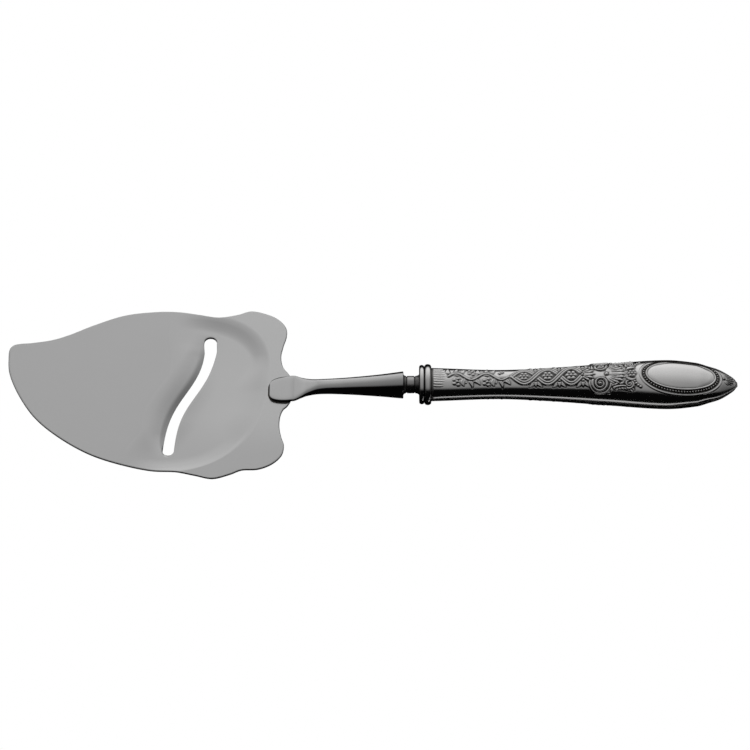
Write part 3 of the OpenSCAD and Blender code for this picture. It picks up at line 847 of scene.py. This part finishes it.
# Distance from the mouth, half width and half height
handle_table = [
    [0, mouth_hw, mouth_hh],
    [0.5 * ferrule_w, mouth_hw, mouth_hh],
    [ferrule_w, mouth_hw, mouth_hh],
    [0.067 * handle_len, mouth_hw - 0.3 * (mouth_hw - waist_hw), mouth_hh - 0.6 * (mouth_hh - waist_hh)],
    [0.242 * handle_len, waist_hw, waist_hh],
    [0.408 * handle_len, waist_hw + 0.2 * belly_w, waist_hh + 0.3 * belly_h],
    [0.581 * handle_len, waist_hw + 0.57 * belly_w, waist_hh + 0.8 * belly_h],
    [0.77 * handle_len, belly_hw, belly_hh],
    [0.868 * handle_len, 0.91 * belly_hw, 0.84 * belly_hh],
    [0.906 * handle_len, 0.775 * belly_hw, 0.69 * belly_hh],
    [0.944 * handle_len, 0.62 * belly_hw, 0.52 * belly_hh],
    [0.983 * handle_len, 0.31 * belly_hw, 0.28 * belly_hh],
    [handle_len, 0.09 * belly_hw, 0.11 * belly_hh]]
net_rows = 640
net_columns = 140
tip_round = 0.9


def half_sizes(d):
    """Half width and half height at distances from the mouth, rounded off at the tail's tip."""
    into_tip = ((d - (handle_len - tip_round)) / tip_round).clip(0, 0.995)
    blunt = np.sqrt(1 - into_tip**2)
    return follow(handle_table, d, 1) * blunt, follow(handle_table, d, 2) * blunt


def arc_net(d, columns, inset):
    """Points over the upper half, evenly spaced across, and their distance from the crown."""
    half_w, half_h = half_sizes(d)
    power = (2 + (handle_power - 2) * ease(ferrule_w, 3 * ferrule_w, d))[:, None]
    shape = (half_w - inset)[:, None], (half_h - inset - seam_t / 2)[:, None], power
    angle = np.linspace(0, math.pi, 361)
    y, z = section(*shape, angle[None, :])
    steps = np.hypot(np.diff(y, axis=1), np.diff(z, axis=1))
    length = np.concatenate([np.zeros((len(d), 1)), np.cumsum(steps, axis=1)], axis=1)
    share = np.linspace(0, 1, columns)
    place = np.stack([np.interp(share * s[-1], s, angle) for s in length])
    y, z = section(*shape, place)
    across = (0.5 - share)[None, :] * length[:, -1:]
    return np.stack([np.repeat(d[:, None], columns, 1), y, z + seam_t / 2], -1), across


net_d = np.linspace(0, handle_len, net_rows)
net, across = arc_net(net_d, net_columns, 0.0)
along = net[..., 0]
print(f"net step {handle_len / net_rows:.2f} by {2 * across.max() / net_columns:.2f} mm at most")

# %% [markdown]
# ## The die's pattern
# A die sinks its ornament motif by motif, and each new motif cuts a moat into what lies under it. The
# class below does the same on the net: a stroke follows a path, has a width and a profile, and lies over
# what was there. The pattern is a common one: flutes at the mouth, a vine, a plait, a pair of volutes,
# leaf scrolls, a plain oval and a fan of leaves at the tip.

# %% Strokes of the die


class Die:
    """Height of the relief over the handle's plain form, in millimetres, at every point of the net."""

    def __init__(self, along, across):
        self.along = along
        self.across = across
        self.height = np.zeros_like(along)
        self.cut = 0.24

    def rows_near(self, path, reach):
        places = self.along[:, 0]
        return slice(*np.searchsorted(places, [path[:, 0].min() - reach, path[:, 0].max() + reach]))

    def measure(self, rows, path):
        """Distance to a path, share along it and whether the nearest point is not an end."""
        start, leg = path[:-1], np.diff(path, axis=0)
        square = (leg**2).sum(1)
        du = self.along[rows][..., None] - start[:, 0]
        dv = self.across[rows][..., None] - start[:, 1]
        t = np.clip((du * leg[:, 0] + dv * leg[:, 1]) / square, 0, 1)
        gap = (du - t * leg[:, 0]) ** 2 + (dv - t * leg[:, 1]) ** 2
        k = gap.argmin(-1)
        t = np.take_along_axis(t, k[..., None], -1)[..., 0]
        gap = np.take_along_axis(gap, k[..., None], -1)[..., 0]
        length = np.sqrt(square)
        travel = np.concatenate([[0], np.cumsum(length)])
        inside = ~(((k == 0) & (t <= 0)) | ((k == len(leg) - 1) & (t >= 1)))
        return np.sqrt(gap), (travel[k] + t * length[k]) / travel[-1], inside

    def stroke(self, path, width, rise, profile, moat=0.3, open_ends=False):
        """Lay a motif along a path. width is half its width, or a function of the share along it."""
        path = np.asarray(path, float)
        widest = width if np.isscalar(width) else width(np.linspace(0, 1, 50)).max()
        rows = self.rows_near(path, widest + moat)
        gap, share, inside = self.measure(rows, path)
        half = np.maximum(width if np.isscalar(width) else width(share), 1e-3)
        ground = ease(0, moat, gap - half)
        if open_ends:
            ground = np.where(inside, ground, 1)
        under = self.height[rows] * ground - self.cut * (1 - ground) * ground
        body = rise * profile(np.clip(gap / half, 0, 1), share)
        on = (gap < half) & (inside | (not open_ends))
        self.height[rows] = np.where(on, body, under)

    def both(self, path, *rest, **named):
        """The same stroke on both sides of the crown."""
        path = np.asarray(path, float)
        self.stroke(path, *rest, **named)
        self.stroke(path * [1, -1], *rest, **named)


def domed(x, share):
    return np.sqrt(1 - x**2)


def grooved(x, share):
    """A strap with a groove along its middle and rounded edges."""
    return np.sqrt(np.clip(1 - x**4, 0, 1)) - 0.55 * np.exp(-((x / 0.24) ** 2))


def reeded(x, share):
    """A leaf with fine ridges along it."""
    return np.sqrt(1 - x**2) * (0.72 + 0.28 * np.cos(4 * math.pi * x))


def veined(x, share):
    """A leaf: domed, with a vein down its middle."""
    vein = 0.5 * np.exp(-((x / 0.18) ** 2)) * ease(0, 0.25, share) * ease(1, 0.8, share)
    return np.sqrt(1 - x**2) - vein


print("die ready")

# %% Motifs


def bowed(start, end, bow, steps=24):
    """A path from start to end that bows sideways."""
    start, end = np.asarray(start, float), np.asarray(end, float)
    t = np.linspace(0, 1, steps)[:, None]
    side = np.array([-(end - start)[1], (end - start)[0]])
    return start + (end - start) * t + side * bow * 4 * t * (1 - t)


def leaf_width(half):
    return lambda share: half * np.sin(math.pi * np.clip(share, 0, 1) ** 0.75) ** 0.8


def thinning(start, end):
    return lambda share: start + (end - start) * share


def spiral(centre, radius, turns, start, way, steps=90):
    """A path that winds in to a centre; way is 1 or -1."""
    t = np.linspace(0, 1, steps)
    angle = math.radians(start) + way * 2 * math.pi * turns * t
    r = radius * (1 - 0.86 * t)
    return np.column_stack([centre[0] + r * np.cos(angle), centre[1] + r * np.sin(angle)])


def dot(u, v):
    return np.array([[u, v], [u + 0.02, v]])


def oval(centre, half_u, half_v, steps=140, start=0, end=360):
    t = np.radians(np.linspace(start, end, steps))
    return np.column_stack([centre + half_u * np.cos(t), half_v * np.sin(t)])


def arc(centre, radius, start, end, steps=48):
    t = np.radians(np.linspace(start, end, steps))
    return np.column_stack([centre[0] + radius * np.cos(t), centre[1] + radius * np.sin(t)])


def rosette(u, v, radius, petals):
    """A flower: round petals about a domed heart."""
    for way in arc((0, 0), 1.0, 0, 360, petals + 1)[:-1]:
        die.stroke(dot(*((u, v) + 0.68 * radius * way)), 0.36 * radius, rise, domed, moat=0.2)
    die.stroke(dot(u, v), 0.32 * radius, 1.25 * rise, domed, moat=0.2)


def fan(u, reach, lobes, spread, profile, half, squeeze=0.85):
    """Leaves that open from a point on the crown towards the tail, the middle one longest and on top."""
    for k in sorted(range(lobes), key=lambda k: -abs(2 * k - lobes + 1)):
        lift = math.radians(spread * (2 * k / (lobes - 1) - 1))
        length = reach * (0.7 + 0.3 * math.cos(lift))
        tip = (u + length * math.cos(lift), squeeze * length * math.sin(lift))
        path = bowed((u, 0), tip, 0.05 * math.sin(lift))
        die.stroke(path, leaf_width(half), rise, profile, moat=0.22)
    die.stroke(dot(u, 0), 0.8 * half, 1.2 * rise, domed)


def spray(path, count, reach, half, way):
    """A stalk with small leaves swept forward on one side of it, on both sides of the crown."""
    for k in range(count):
        i = int((k + 0.4) / count * (len(path) - 1))
        ahead = path[i + 1] - path[i]
        ahead /= np.hypot(*ahead)
        out = way * np.array([-ahead[1], ahead[0]])
        size = reach * math.sin(math.pi * (0.3 + 0.55 * k / count))
        tip = path[i] + size * (0.75 * ahead + 0.8 * out)
        die.both(bowed(path[i], tip, 0.16 * way), leaf_width(half), rise, veined)
    die.both(path, thinning(0.4, 0.24), rise, domed)


def bead_run(path, pitch, radius, strokes):
    """Small domes at even steps along a path."""
    travel = np.concatenate([[0], np.cumsum(np.hypot(*np.diff(path, axis=0).T))])
    for s in np.arange(pitch / 2, travel[-1], pitch):
        strokes(dot(*(np.interp(s, travel, path[:, k]) for k in (0, 1))), radius, rise, domed)


die = Die(along, across)
rise = 0.42
print(f"motifs stand {rise} mm high")

# %% Flutes at the mouth
flute_pitch, flute_count = 0.86, 9
flute_start, flute_end, flute_slant = 2.7, 6.9, 0.25
for k in range(flute_count):
    v = flute_pitch * (k - (flute_count - 1) / 2)
    path = bowed((flute_start, v), (flute_end - flute_slant * abs(v), v), 0.0)
    die.stroke(path, leaf_width(0.36), 0.3 * rise, domed, moat=0.1)
print(flute_count, "flutes")

# %% The vine
vine_start, vine_end, vine_wave, vine_swing, vine_bends = 7.6, 26.6, 9.5, 1.2, 4
vine_u = np.linspace(vine_start, vine_end, 120)
vine_v = vine_swing * np.sin(2 * math.pi * (vine_u - vine_start) / vine_wave)

# A leaf's root and tip from the crest of its bend, its bow and half its width
outer_leaves = (((-1.2, 1.0), (2.8, 3.0), -0.18, 0.95),
                ((-2.0, 0.9), (-2.3, 3.4), 0.2, 0.75),
                ((-0.8, 1.4), (0.3, 3.9), -0.14, 0.6))
inner_leaf = ((1.6, -0.9), (3.1, -2.6), 0.2, 0.5)


def vine_leaf(u, side, root, tip, bow, half):
    crest, way = np.array([u, 0]), np.array([1, side])
    path = bowed(crest + way * root, crest + way * tip, bow * side)
    die.stroke(path, leaf_width(half), rise, veined)


for k in range(vine_bends):
    u = vine_start + vine_wave * (0.25 + 0.5 * k)
    side = 1 if k % 2 == 0 else -1
    for shape in outer_leaves:
        vine_leaf(u, side, *shape)
    if k < vine_bends - 1:
        rosette(u + 0.3, side * -1.9, radius=1.6, petals=5)
        vine_leaf(u, side, *inner_leaf)
    else:
        berries = bowed((u - 0.9, 1.0), (u + 1.2, 1.9), 0.1)
        bead_run(berries, pitch=0.95, radius=0.46, strokes=die.stroke)
die.stroke(np.column_stack([vine_u, vine_v]), thinning(0.44, 0.36), rise, domed)
print("vine with", vine_bends, "bends")

# %% The plait
plait_start, plait_end, plait_loops = 27.6, 49.8, 3
plait_pitch = (plait_end - plait_start) / plait_loops
strap_hw, crossing_half = 0.76, 1.8


def plait(way, start, end):
    u = np.linspace(start, end, max(12, int((end - start) / 0.16)))
    swing = 2.2 + 1.0 * (u - plait_start) / (plait_end - plait_start)
    return np.column_stack([u, way * swing * np.sin(math.pi * (u - plait_start) / plait_pitch)])


for k in range(1, plait_loops + 1):
    u = plait_start + k * plait_pitch
    wide = 1.9 + 0.25 * k
    for lean, size in ((2.1, 0.6), (-2.1, 0.6), (0.0, 0.55)):
        path = bowed((u + 0.2 * lean, wide - 0.5), (u + lean, wide + 1.7), 0.1 * np.sign(lean))
        die.both(path, leaf_width(size), rise, veined)
    die.both(dot(u, wide - 0.6), 0.5, rise, domed)
for way in (1, -1):
    die.stroke(plait(way, plait_start, plait_end), strap_hw, 1.1 * rise, grooved)
for k in range(plait_loops + 1):
    u = plait_start + k * plait_pitch
    way = 1 if k % 2 == 0 else -1
    start, end = max(plait_start, u - crossing_half), min(plait_end, u + crossing_half)
    die.stroke(plait(way, start, end), strap_hw, 1.2 * rise, grooved, open_ends=True)
for k in range(plait_loops):
    rosette(plait_start + (k + 0.5) * plait_pitch, 0.0, radius=1.5 + 0.15 * k, petals=6)
print("plait with", plait_loops, "loops")

# %% The volutes with the fans between them
volute, volute_r, hoop_r, leaf_r = np.array([55.2, 3.3]), 2.6, 3.3, 4.7
fan(57.2, reach=6.6, lobes=9, spread=62, profile=reeded, half=0.8)
fan(49.6, reach=4.2, lobes=5, spread=50, profile=veined, half=0.55)
for out in arc((0, 0), 1.0, start=10, end=70, steps=4):
    path = bowed(volute + hoop_r * out, volute + leaf_r * out, 0.1)
    die.both(path, leaf_width(0.5), rise, veined)
die.both(arc(volute, hoop_r, start=5, end=195), 0.32, rise, domed, moat=0.22)
winding = spiral(volute, volute_r, turns=2.2, start=205, way=-1, steps=140)
die.both(winding, thinning(0.42, 0.28), 1.15 * rise, domed, moat=0.2)
die.both(dot(*volute), 0.5, 1.25 * rise, domed)
print("volutes at", volute, "mm")

# %% Leaf scrolls before the oval
scroll = bowed((59.4, 4.9), (65.6, 5.7), -0.14, 40)
spray(scroll, count=6, reach=1.5, half=0.5, way=1)
spray(scroll, count=4, reach=1.6, half=0.48, way=-1)
curl = (64.2, 3.7)
winding = spiral(curl, 1.6, turns=1.7, start=110, way=-1)
die.both(winding, thinning(0.36, 0.24), 1.1 * rise, domed, moat=0.2)
die.both(dot(*curl), 0.4, 1.2 * rise, domed)
bead_run(bowed((65.7, 2.5), (67.9, 4.9), 0.1), pitch=0.9, radius=0.4, strokes=die.both)
die.both(bowed((63.4, 1.4), (66.4, 1.9), 0.22), leaf_width(0.5), rise, veined)
rosette(65.2, 0.0, radius=1.4, petals=6)
print("scrolls curl in at", curl, "mm")

# %% The plain oval with its mouldings, and the tip
oval_u, oval_half_u, oval_half_v = 80.6, 11.0, 5.5
bead_gap, moulding_gap, moulding_hw, oval_lift = 0.78, 1.9, 0.26, 0.1
for gap, share in ((moulding_gap, 0.4), (0.0, 0.5)):
    path = oval(oval_u, oval_half_u + gap, oval_half_v + gap)
    die.stroke(path, moulding_hw, share * rise, domed, moat=0.2)
inside = 1 - ((along - oval_u) / oval_half_u) ** 2 - (across / oval_half_v) ** 2
die.height += oval_lift * ease(0.06, 0.3, inside)
fan(94.3, reach=3.4, lobes=7, spread=62, profile=reeded, half=0.45, squeeze=0.8)
print(f"relief from {die.height.min():.2f} to {die.height.max():.2f} mm")

# %% Soften the pattern and find its hollows


def blurred(field, passes):
    for _ in range(passes):
        padded = np.pad(field, 1, mode="edge")
        field = (padded[1:-1, 1:-1] * 4 + padded[:-2, 1:-1] + padded[2:, 1:-1]
                 + padded[1:-1, :-2] + padded[1:-1, 2:]) / 8
    return field


def sunk(passes, slack, depth):
    """How far each point lies below its surroundings, from 0 to 1."""
    return np.clip((blurred(relief, passes) - relief - slack) / depth, 0, 1)


# The pattern fades out towards the seam, sooner on the far side of the oval and on the lower shell
upper_end, lower_end, far_end, by_oval = (0.8, 0.63), (0.62, 0.46), (0.39, 0.46), (68, 71)
to_seam = across / across.max(axis=1, keepdims=True)
die.height *= ease(*upper_end, np.abs(to_seam))
die.height *= 1 - ease(*by_oval, along) * ease(*far_end, to_seam)
lower_fade = ease(*lower_end, np.abs(to_seam))
relief = blurred(die.height, 1)

# Oxide fills the hollows and the beads' channel, less of it towards the mouth. Painted shade darkens
# the corner behind the ferrule and a band along the oval's far side, and the tip is a little darker.
bead_path = oval(oval_u, oval_half_u + bead_gap, oval_half_v + bead_gap, steps=90)
channel = ease(0.8, 0.5, die.measure(slice(None), bead_path)[0])
fine = sunk(passes=10, slack=0.012, depth=0.07)
broad = 0.9 * sunk(passes=60, slack=0.04, depth=0.11)
in_relief = np.maximum.reduce([fine, broad, channel])
kept = 0.5 + 0.5 * ease(22, 48, along)
# Painted shade in the corner behind the ferrule
corner = 0.8 * ease(ferrule_w + 0.9, ferrule_w + 0.4, along)
# Painted shade along the oval's far side
far_side = 0.95 * ease(0.43, 0.47, to_seam) * ease(68, 73, along) * ease(91.5, 89, along)
on_tip = 0.3 * ease(90, 95, along)
hollow = np.maximum.reduce([in_relief * kept, corner, far_side, on_tip])
print(f"hollows cover {100 * (hollow > 0.3).mean():.0f}% of a shell")

# %% [markdown]
# ## Raising the relief
# Geometry Nodes lift the pattern: the net carries its height as a number on each point, and a small tree
# moves each point along its normal by that number times a setting. The tree is written with the class
# that makes the materials. The lower shell is the same net turned over, and its pattern fades sooner
# towards the seam.

# %% The tree that strikes a shell


class GeometryTree(Finish):
    """A tree of Geometry Nodes with named inputs, one of them the metal of what comes out."""

    def __init__(self, name, inputs):
        self.tree = bpy.data.node_groups.new(name, "GeometryNodeTree")
        face = self.tree.interface
        self.keys = {}
        for label, kind in {"Geometry": "Geometry", **inputs, "Metal": "Material"}.items():
            made = face.new_socket(label, in_out="INPUT", socket_type="NodeSocket" + kind)
            self.keys[label] = made.identifier
        face.new_socket("Geometry", in_out="OUTPUT", socket_type="NodeSocketGeometry")
        self.start = self.tree.nodes.new("NodeGroupInput")

    def given(self, label):
        """What comes in under a name."""
        return Wire(self, self.start.outputs[label])

    def finished(self, shape):
        """End the tree: make copies real and give them the metal."""
        real = self.node("GeometryNodeRealizeInstances", None, {"Geometry": shape})
        sockets = {"Geometry": real, "Material": self.given("Metal")}
        dressed = self.node("GeometryNodeSetMaterial", None, sockets)
        self.node("NodeGroupOutput", None, {"Geometry": dressed})
        return self


def strike_tree():
    tree = GeometryTree("strike_shell", {"Relief": "Float"})
    named = {"Name": "relief"}
    height = tree.node("GeometryNodeInputNamedAttribute", {"data_type": "FLOAT"}, named, out="Attribute")
    normal = tree.node("GeometryNodeInputNormal", out="Normal")
    scaled = {0: normal, "Scale": height * tree.given("Relief")}
    offset = tree.node("ShaderNodeVectorMath", {"operation": "SCALE"}, scaled)
    moved = {"Geometry": tree.given("Geometry"), "Offset": offset}
    return tree.finished(tree.node("GeometryNodeSetPosition", None, moved))


def settled(name, mesh, tree, settings):
    """Run a tree on a mesh, and give the plain mesh that comes out."""
    blank = linked(name + "_blank", mesh)
    modifier = blank.modifiers.new("tree", "NODES")
    modifier.node_group = tree.tree
    for label, value in settings.items():
        modifier[tree.keys[label]] = value
    bpy.context.view_layer.update()
    view = bpy.context.evaluated_depsgraph_get()
    result = bpy.data.meshes.new_from_object(blank.evaluated_get(view), depsgraph=view)
    bpy.data.objects.remove(blank)
    result.name = name
    return result


strike = strike_tree()
inner_columns = 7
inner_d = np.linspace(0, hollow_len, net_rows)
inner_net = arc_net(inner_d, inner_columns, shell_t)[0]


def shell(name, node, side):
    """One struck shell: the net, a plain inside and the flat edges between them."""
    outside, inside = net.reshape(-1, 3), inner_net.reshape(-1, 3)
    points = np.concatenate([outside, inside]) * [1, 1, side] + [mouth_x, 0, axis_z]
    n, m, first = net_columns, inner_columns, len(outside)
    a, b = (net_rows - 1) * n, first + (net_rows - 1) * m
    faces = skin(net_rows, n) + [q[::-1] for q in skin(net_rows, m, first=first)]
    for i in range(net_rows - 1):
        p, q = i * n, first + i * m
        faces.append([p, p + n, q + m, q])
        faces.append([p + 2 * n - 1, p + n - 1, q + m - 1, q + 2 * m - 1])
    faces.append([a + j for j in range(n)])
    faces.append([b + j for j in range(m)][::-1])
    faces.append([a, a + n - 1, b + m - 1, b])
    faces.append([j for j in range(n)][::-1] + [first + j for j in range(m)])
    mesh = outward_mesh(name, points, faces, silver, sharp_angle=50)
    shown = 1.0 if side > 0 else lower_fade
    for label, values in (("relief", relief * shown * MM), ("hollow", hollow * shown)):
        mark(mesh, label, np.concatenate([values.ravel(), np.zeros(len(inside))]))
    struck = settled(name, mesh, strike, {"Relief": 1.0, "Metal": silver})
    return piece(name, struck, "silver", node)


shell("struck_upper_shell", "upper_shell", 1)
shell("struck_lower_shell", "lower_shell", -1)

# %% [markdown]
# ## Beads round the oval
# A row of small beads runs along the oval's near side and round its ends. Geometry Nodes place them: a
# path on the shell becomes evenly spaced points, each point gets a small round bead, and the copies are
# made real.

# %% The tree that strings beads


def bead_tree():
    tree = GeometryTree("string_beads", {"Radius": "Float", "Pitch": "Float"})
    path = tree.node("GeometryNodeMeshToCurve", None, {"Mesh": tree.given("Geometry")})
    spaced = {"Curve": path, "Length": tree.given("Pitch")}
    points = tree.node("GeometryNodeCurveToPoints", {"mode": "LENGTH"}, spaced)
    ball = {"Segments": 12, "Rings": 8, "Radius": tree.given("Radius")}
    bead = tree.node("GeometryNodeMeshUVSphere", None, ball)
    smooth = tree.node("GeometryNodeSetShadeSmooth", None, {"Geometry": bead})
    copies = {"Points": points, "Instance": smooth}
    return tree.finished(tree.node("GeometryNodeInstanceOnPoints", None, copies))


def on_shell(u, v):
    """Point of the plain form at a distance from the mouth and from the crown."""
    row = np.interp(u, net_d, np.arange(net_rows))
    i = int(np.clip(row, 0, net_rows - 2))
    line = net[i] + (net[i + 1] - net[i]) * (row - i)
    place = across[i] + (across[i + 1] - across[i]) * (row - i)
    return np.array([np.interp(v, place[::-1], line[::-1, k]) for k in range(3)])


beads = bead_tree()
bead_r, bead_step = 0.26, 0.9
bead_line = oval(oval_u, oval_half_u + bead_gap, oval_half_v + bead_gap, steps=400, start=150, end=390)
threads = [[i, i + 1] for i in range(len(bead_line) - 1)]
for side, name in ((1, "upper_beads"), (-1, "lower_beads")):
    trail = [on_shell(u, v) * [1, 1, side] + [mouth_x, 0, axis_z] for u, v in bead_line]
    mesh = bpy.data.meshes.new(name + "_path")
    mesh.from_pydata((np.array(trail) * MM).tolist(), threads, [])
    settings = {"Radius": bead_r * MM, "Pitch": bead_step * MM, "Metal": silver}
    piece(name, settled(name, mesh, beads, settings), "silver")

# %% [markdown]
# ## Floor, light and camera
# The tool lies on a white table in a soft light that comes from above and behind it, and the side that
# faces the camera is dark, which gives the silver its black lower flank. The metal does not mirror the
# table. It mirrors a pale card below the table instead, which puts the thin light line along the handle's
# lower edge.

# %% The studio


def plain_light(name, strength):
    material, finish = new_finish(name)
    glow = finish.node("ShaderNodeEmission", None, {"Color": (1, 1, 1, 1), "Strength": strength})
    finish.node("ShaderNodeOutputMaterial", None, {"Surface": glow})
    return material


def stage_sheet(name, corners, faces, material):
    mesh = bpy.data.meshes.new(name)
    mesh.from_pydata(corners, [], faces)
    mesh.materials.append(material)
    sheet = linked(name, mesh)
    return sheet


def card_edge(distance, z):
    """Points along the near side and round the tail, at a distance from the axis that grows there."""
    edge = [(x, -distance, z) for x in card_x]
    for c, s in arc((0, 0), 1.0, -90, 90, 25)[1:-1]:
        reach = distance * (1 + card_spread * ease(0, 0.7, c))
        edge.append((card_x[-1] + reach * c, reach * s, z))
    return edge


floor_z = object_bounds()[0].z
table_half = 6
table = [(x * table_half, y * table_half, floor_z) for x, y in ((-1, -1), (1, -1), (1, 1), (-1, 1))]
floor = stage_sheet("floor", table, [(0, 1, 2, 3)], plain_light("white_table", strength=1.0))
floor.visible_glossy = False
floor.visible_diffuse = False
card_drop = 0.1
card_spread = 1.2
card_near, card_far = 0.098, 0.152
card_start, card_end = 3.5, handle_len - 18
card_x = [(mouth_x + d) * MM for d in (card_start, card_end)]
card_inner = card_edge(card_near, floor_z - card_drop)
card_outer = card_edge(card_far, floor_z - card_drop)
count = len(card_inner)
strips = [(i, i + 1, count + i + 1, count + i) for i in range(count - 1)]
card = stage_sheet("seam_card", card_inner + card_outer, strips, plain_light("pale_card", strength=0.46))
card.visible_camera = False

# A dark flag under the ferrule keeps the card's light off the stem and the rings
flag_x, flag_half = (ferrule_back_x + 0.3) * MM, 0.3
flag_top, flag_low = floor_z - 0.0005, floor_z - card_drop
flag_corners = [(flag_x, -flag_half, flag_low), (flag_x, flag_half, flag_low),
                (flag_x, flag_half, flag_top), (flag_x, -flag_half, flag_top)]
flag = stage_sheet("card_flag", flag_corners, [(0, 1, 2, 3)], plain_light("black_flag", strength=0.0))
flag.visible_camera = False

# The light of the sky by the angle up from the camera's side, over the top and down behind the tool
sky_degrees = [
    (0, 0.002), (43, 0.002), (51, 0.1), (57, 0.19), (66, 0.24), (90, 0.31), (101, 0.34), (110, 0.41),
    (120, 0.5), (130, 0.62), (143, 0.71), (151, 0.8), (160, 0.83), (167, 0.76), (174, 0.3), (179, 0.002)]
sky_stops = [(degrees / 180, light) for degrees, light in sky_degrees]

# The share of it that comes from each way along the tool, from the tip at 0 to the tail at 1
side_stops = [
    (0.0, 0.78), (0.16, 0.82), (0.23, 0.88), (0.29, 0.9), (0.34, 0.84), (0.38, 0.88),
    (0.44, 1.0), (0.57, 1.0), (0.64, 0.93), (0.7, 0.88), (0.83, 0.57), (1.0, 0.5)]

world = bpy.data.worlds.new("studio")
bpy.context.scene.world = world
sky = Finish(world)
direction = sky.node("ShaderNodeTexCoord")
parts = sky.tree.nodes.new("ShaderNodeSeparateXYZ")
sky.feed(parts.inputs[0], direction)
tail_way, back_way, up_way = (Wire(sky, s) for s in parts.outputs)
turn = up_way.math("ARCTAN2", up_way, back_way * -1.0) * (1 / math.pi)
glow = sky.node("ShaderNodeValToRGB", {"stops": sky_stops}, {"Fac": turn})
side_dim = sky.node("ShaderNodeValToRGB", {"stops": side_stops}, {"Fac": 0.5 * tail_way + 0.5})
dimmed = sky.node("ShaderNodeBackground", None, {"Color": glow, "Strength": side_dim})
white = sky.node("ShaderNodeBackground", None, {"Color": (1, 1, 1, 1), "Strength": 1.0})
seen = sky.node("ShaderNodeLightPath")
backdrop = sky.node("ShaderNodeMixShader", None, {0: seen, 1: dimmed, 2: white})
sky.node("ShaderNodeOutputWorld", None, {"Surface": backdrop})
bpy.context.scene.view_settings.view_transform = "Standard"
print("floor at", round(floor_z / MM, 2), "mm")

# %% The camera
camera_lift = 52.0
camera_far = 1000.0
sensor_w = 36
frame_px = 750
mm_per_px = 0.3155
root_px, axis_py = 290.0, 384.1
middle_px = (frame_px - 1) / 2
lift = math.radians(camera_lift)
up = Vector((0, math.sin(lift), math.cos(lift)))
back = Vector((0, -math.cos(lift), math.sin(lift)))
target = Vector(((middle_px - root_px) * mm_per_px, 0, axis_z)) + up * (axis_py - middle_px) * mm_per_px
lens = bpy.data.cameras.new("camera")
lens.sensor_width = sensor_w
lens.lens = sensor_w * camera_far / (frame_px * mm_per_px)
lens.clip_end = 50
camera = linked("camera", lens)
camera.location = (target + back * camera_far) * MM
camera.rotation_euler = (math.pi / 2 - lift, 0, 0)
bpy.context.scene.camera = camera
print(f"camera {camera_far:.0f} mm away with a {lens.lens:.0f} mm lens")
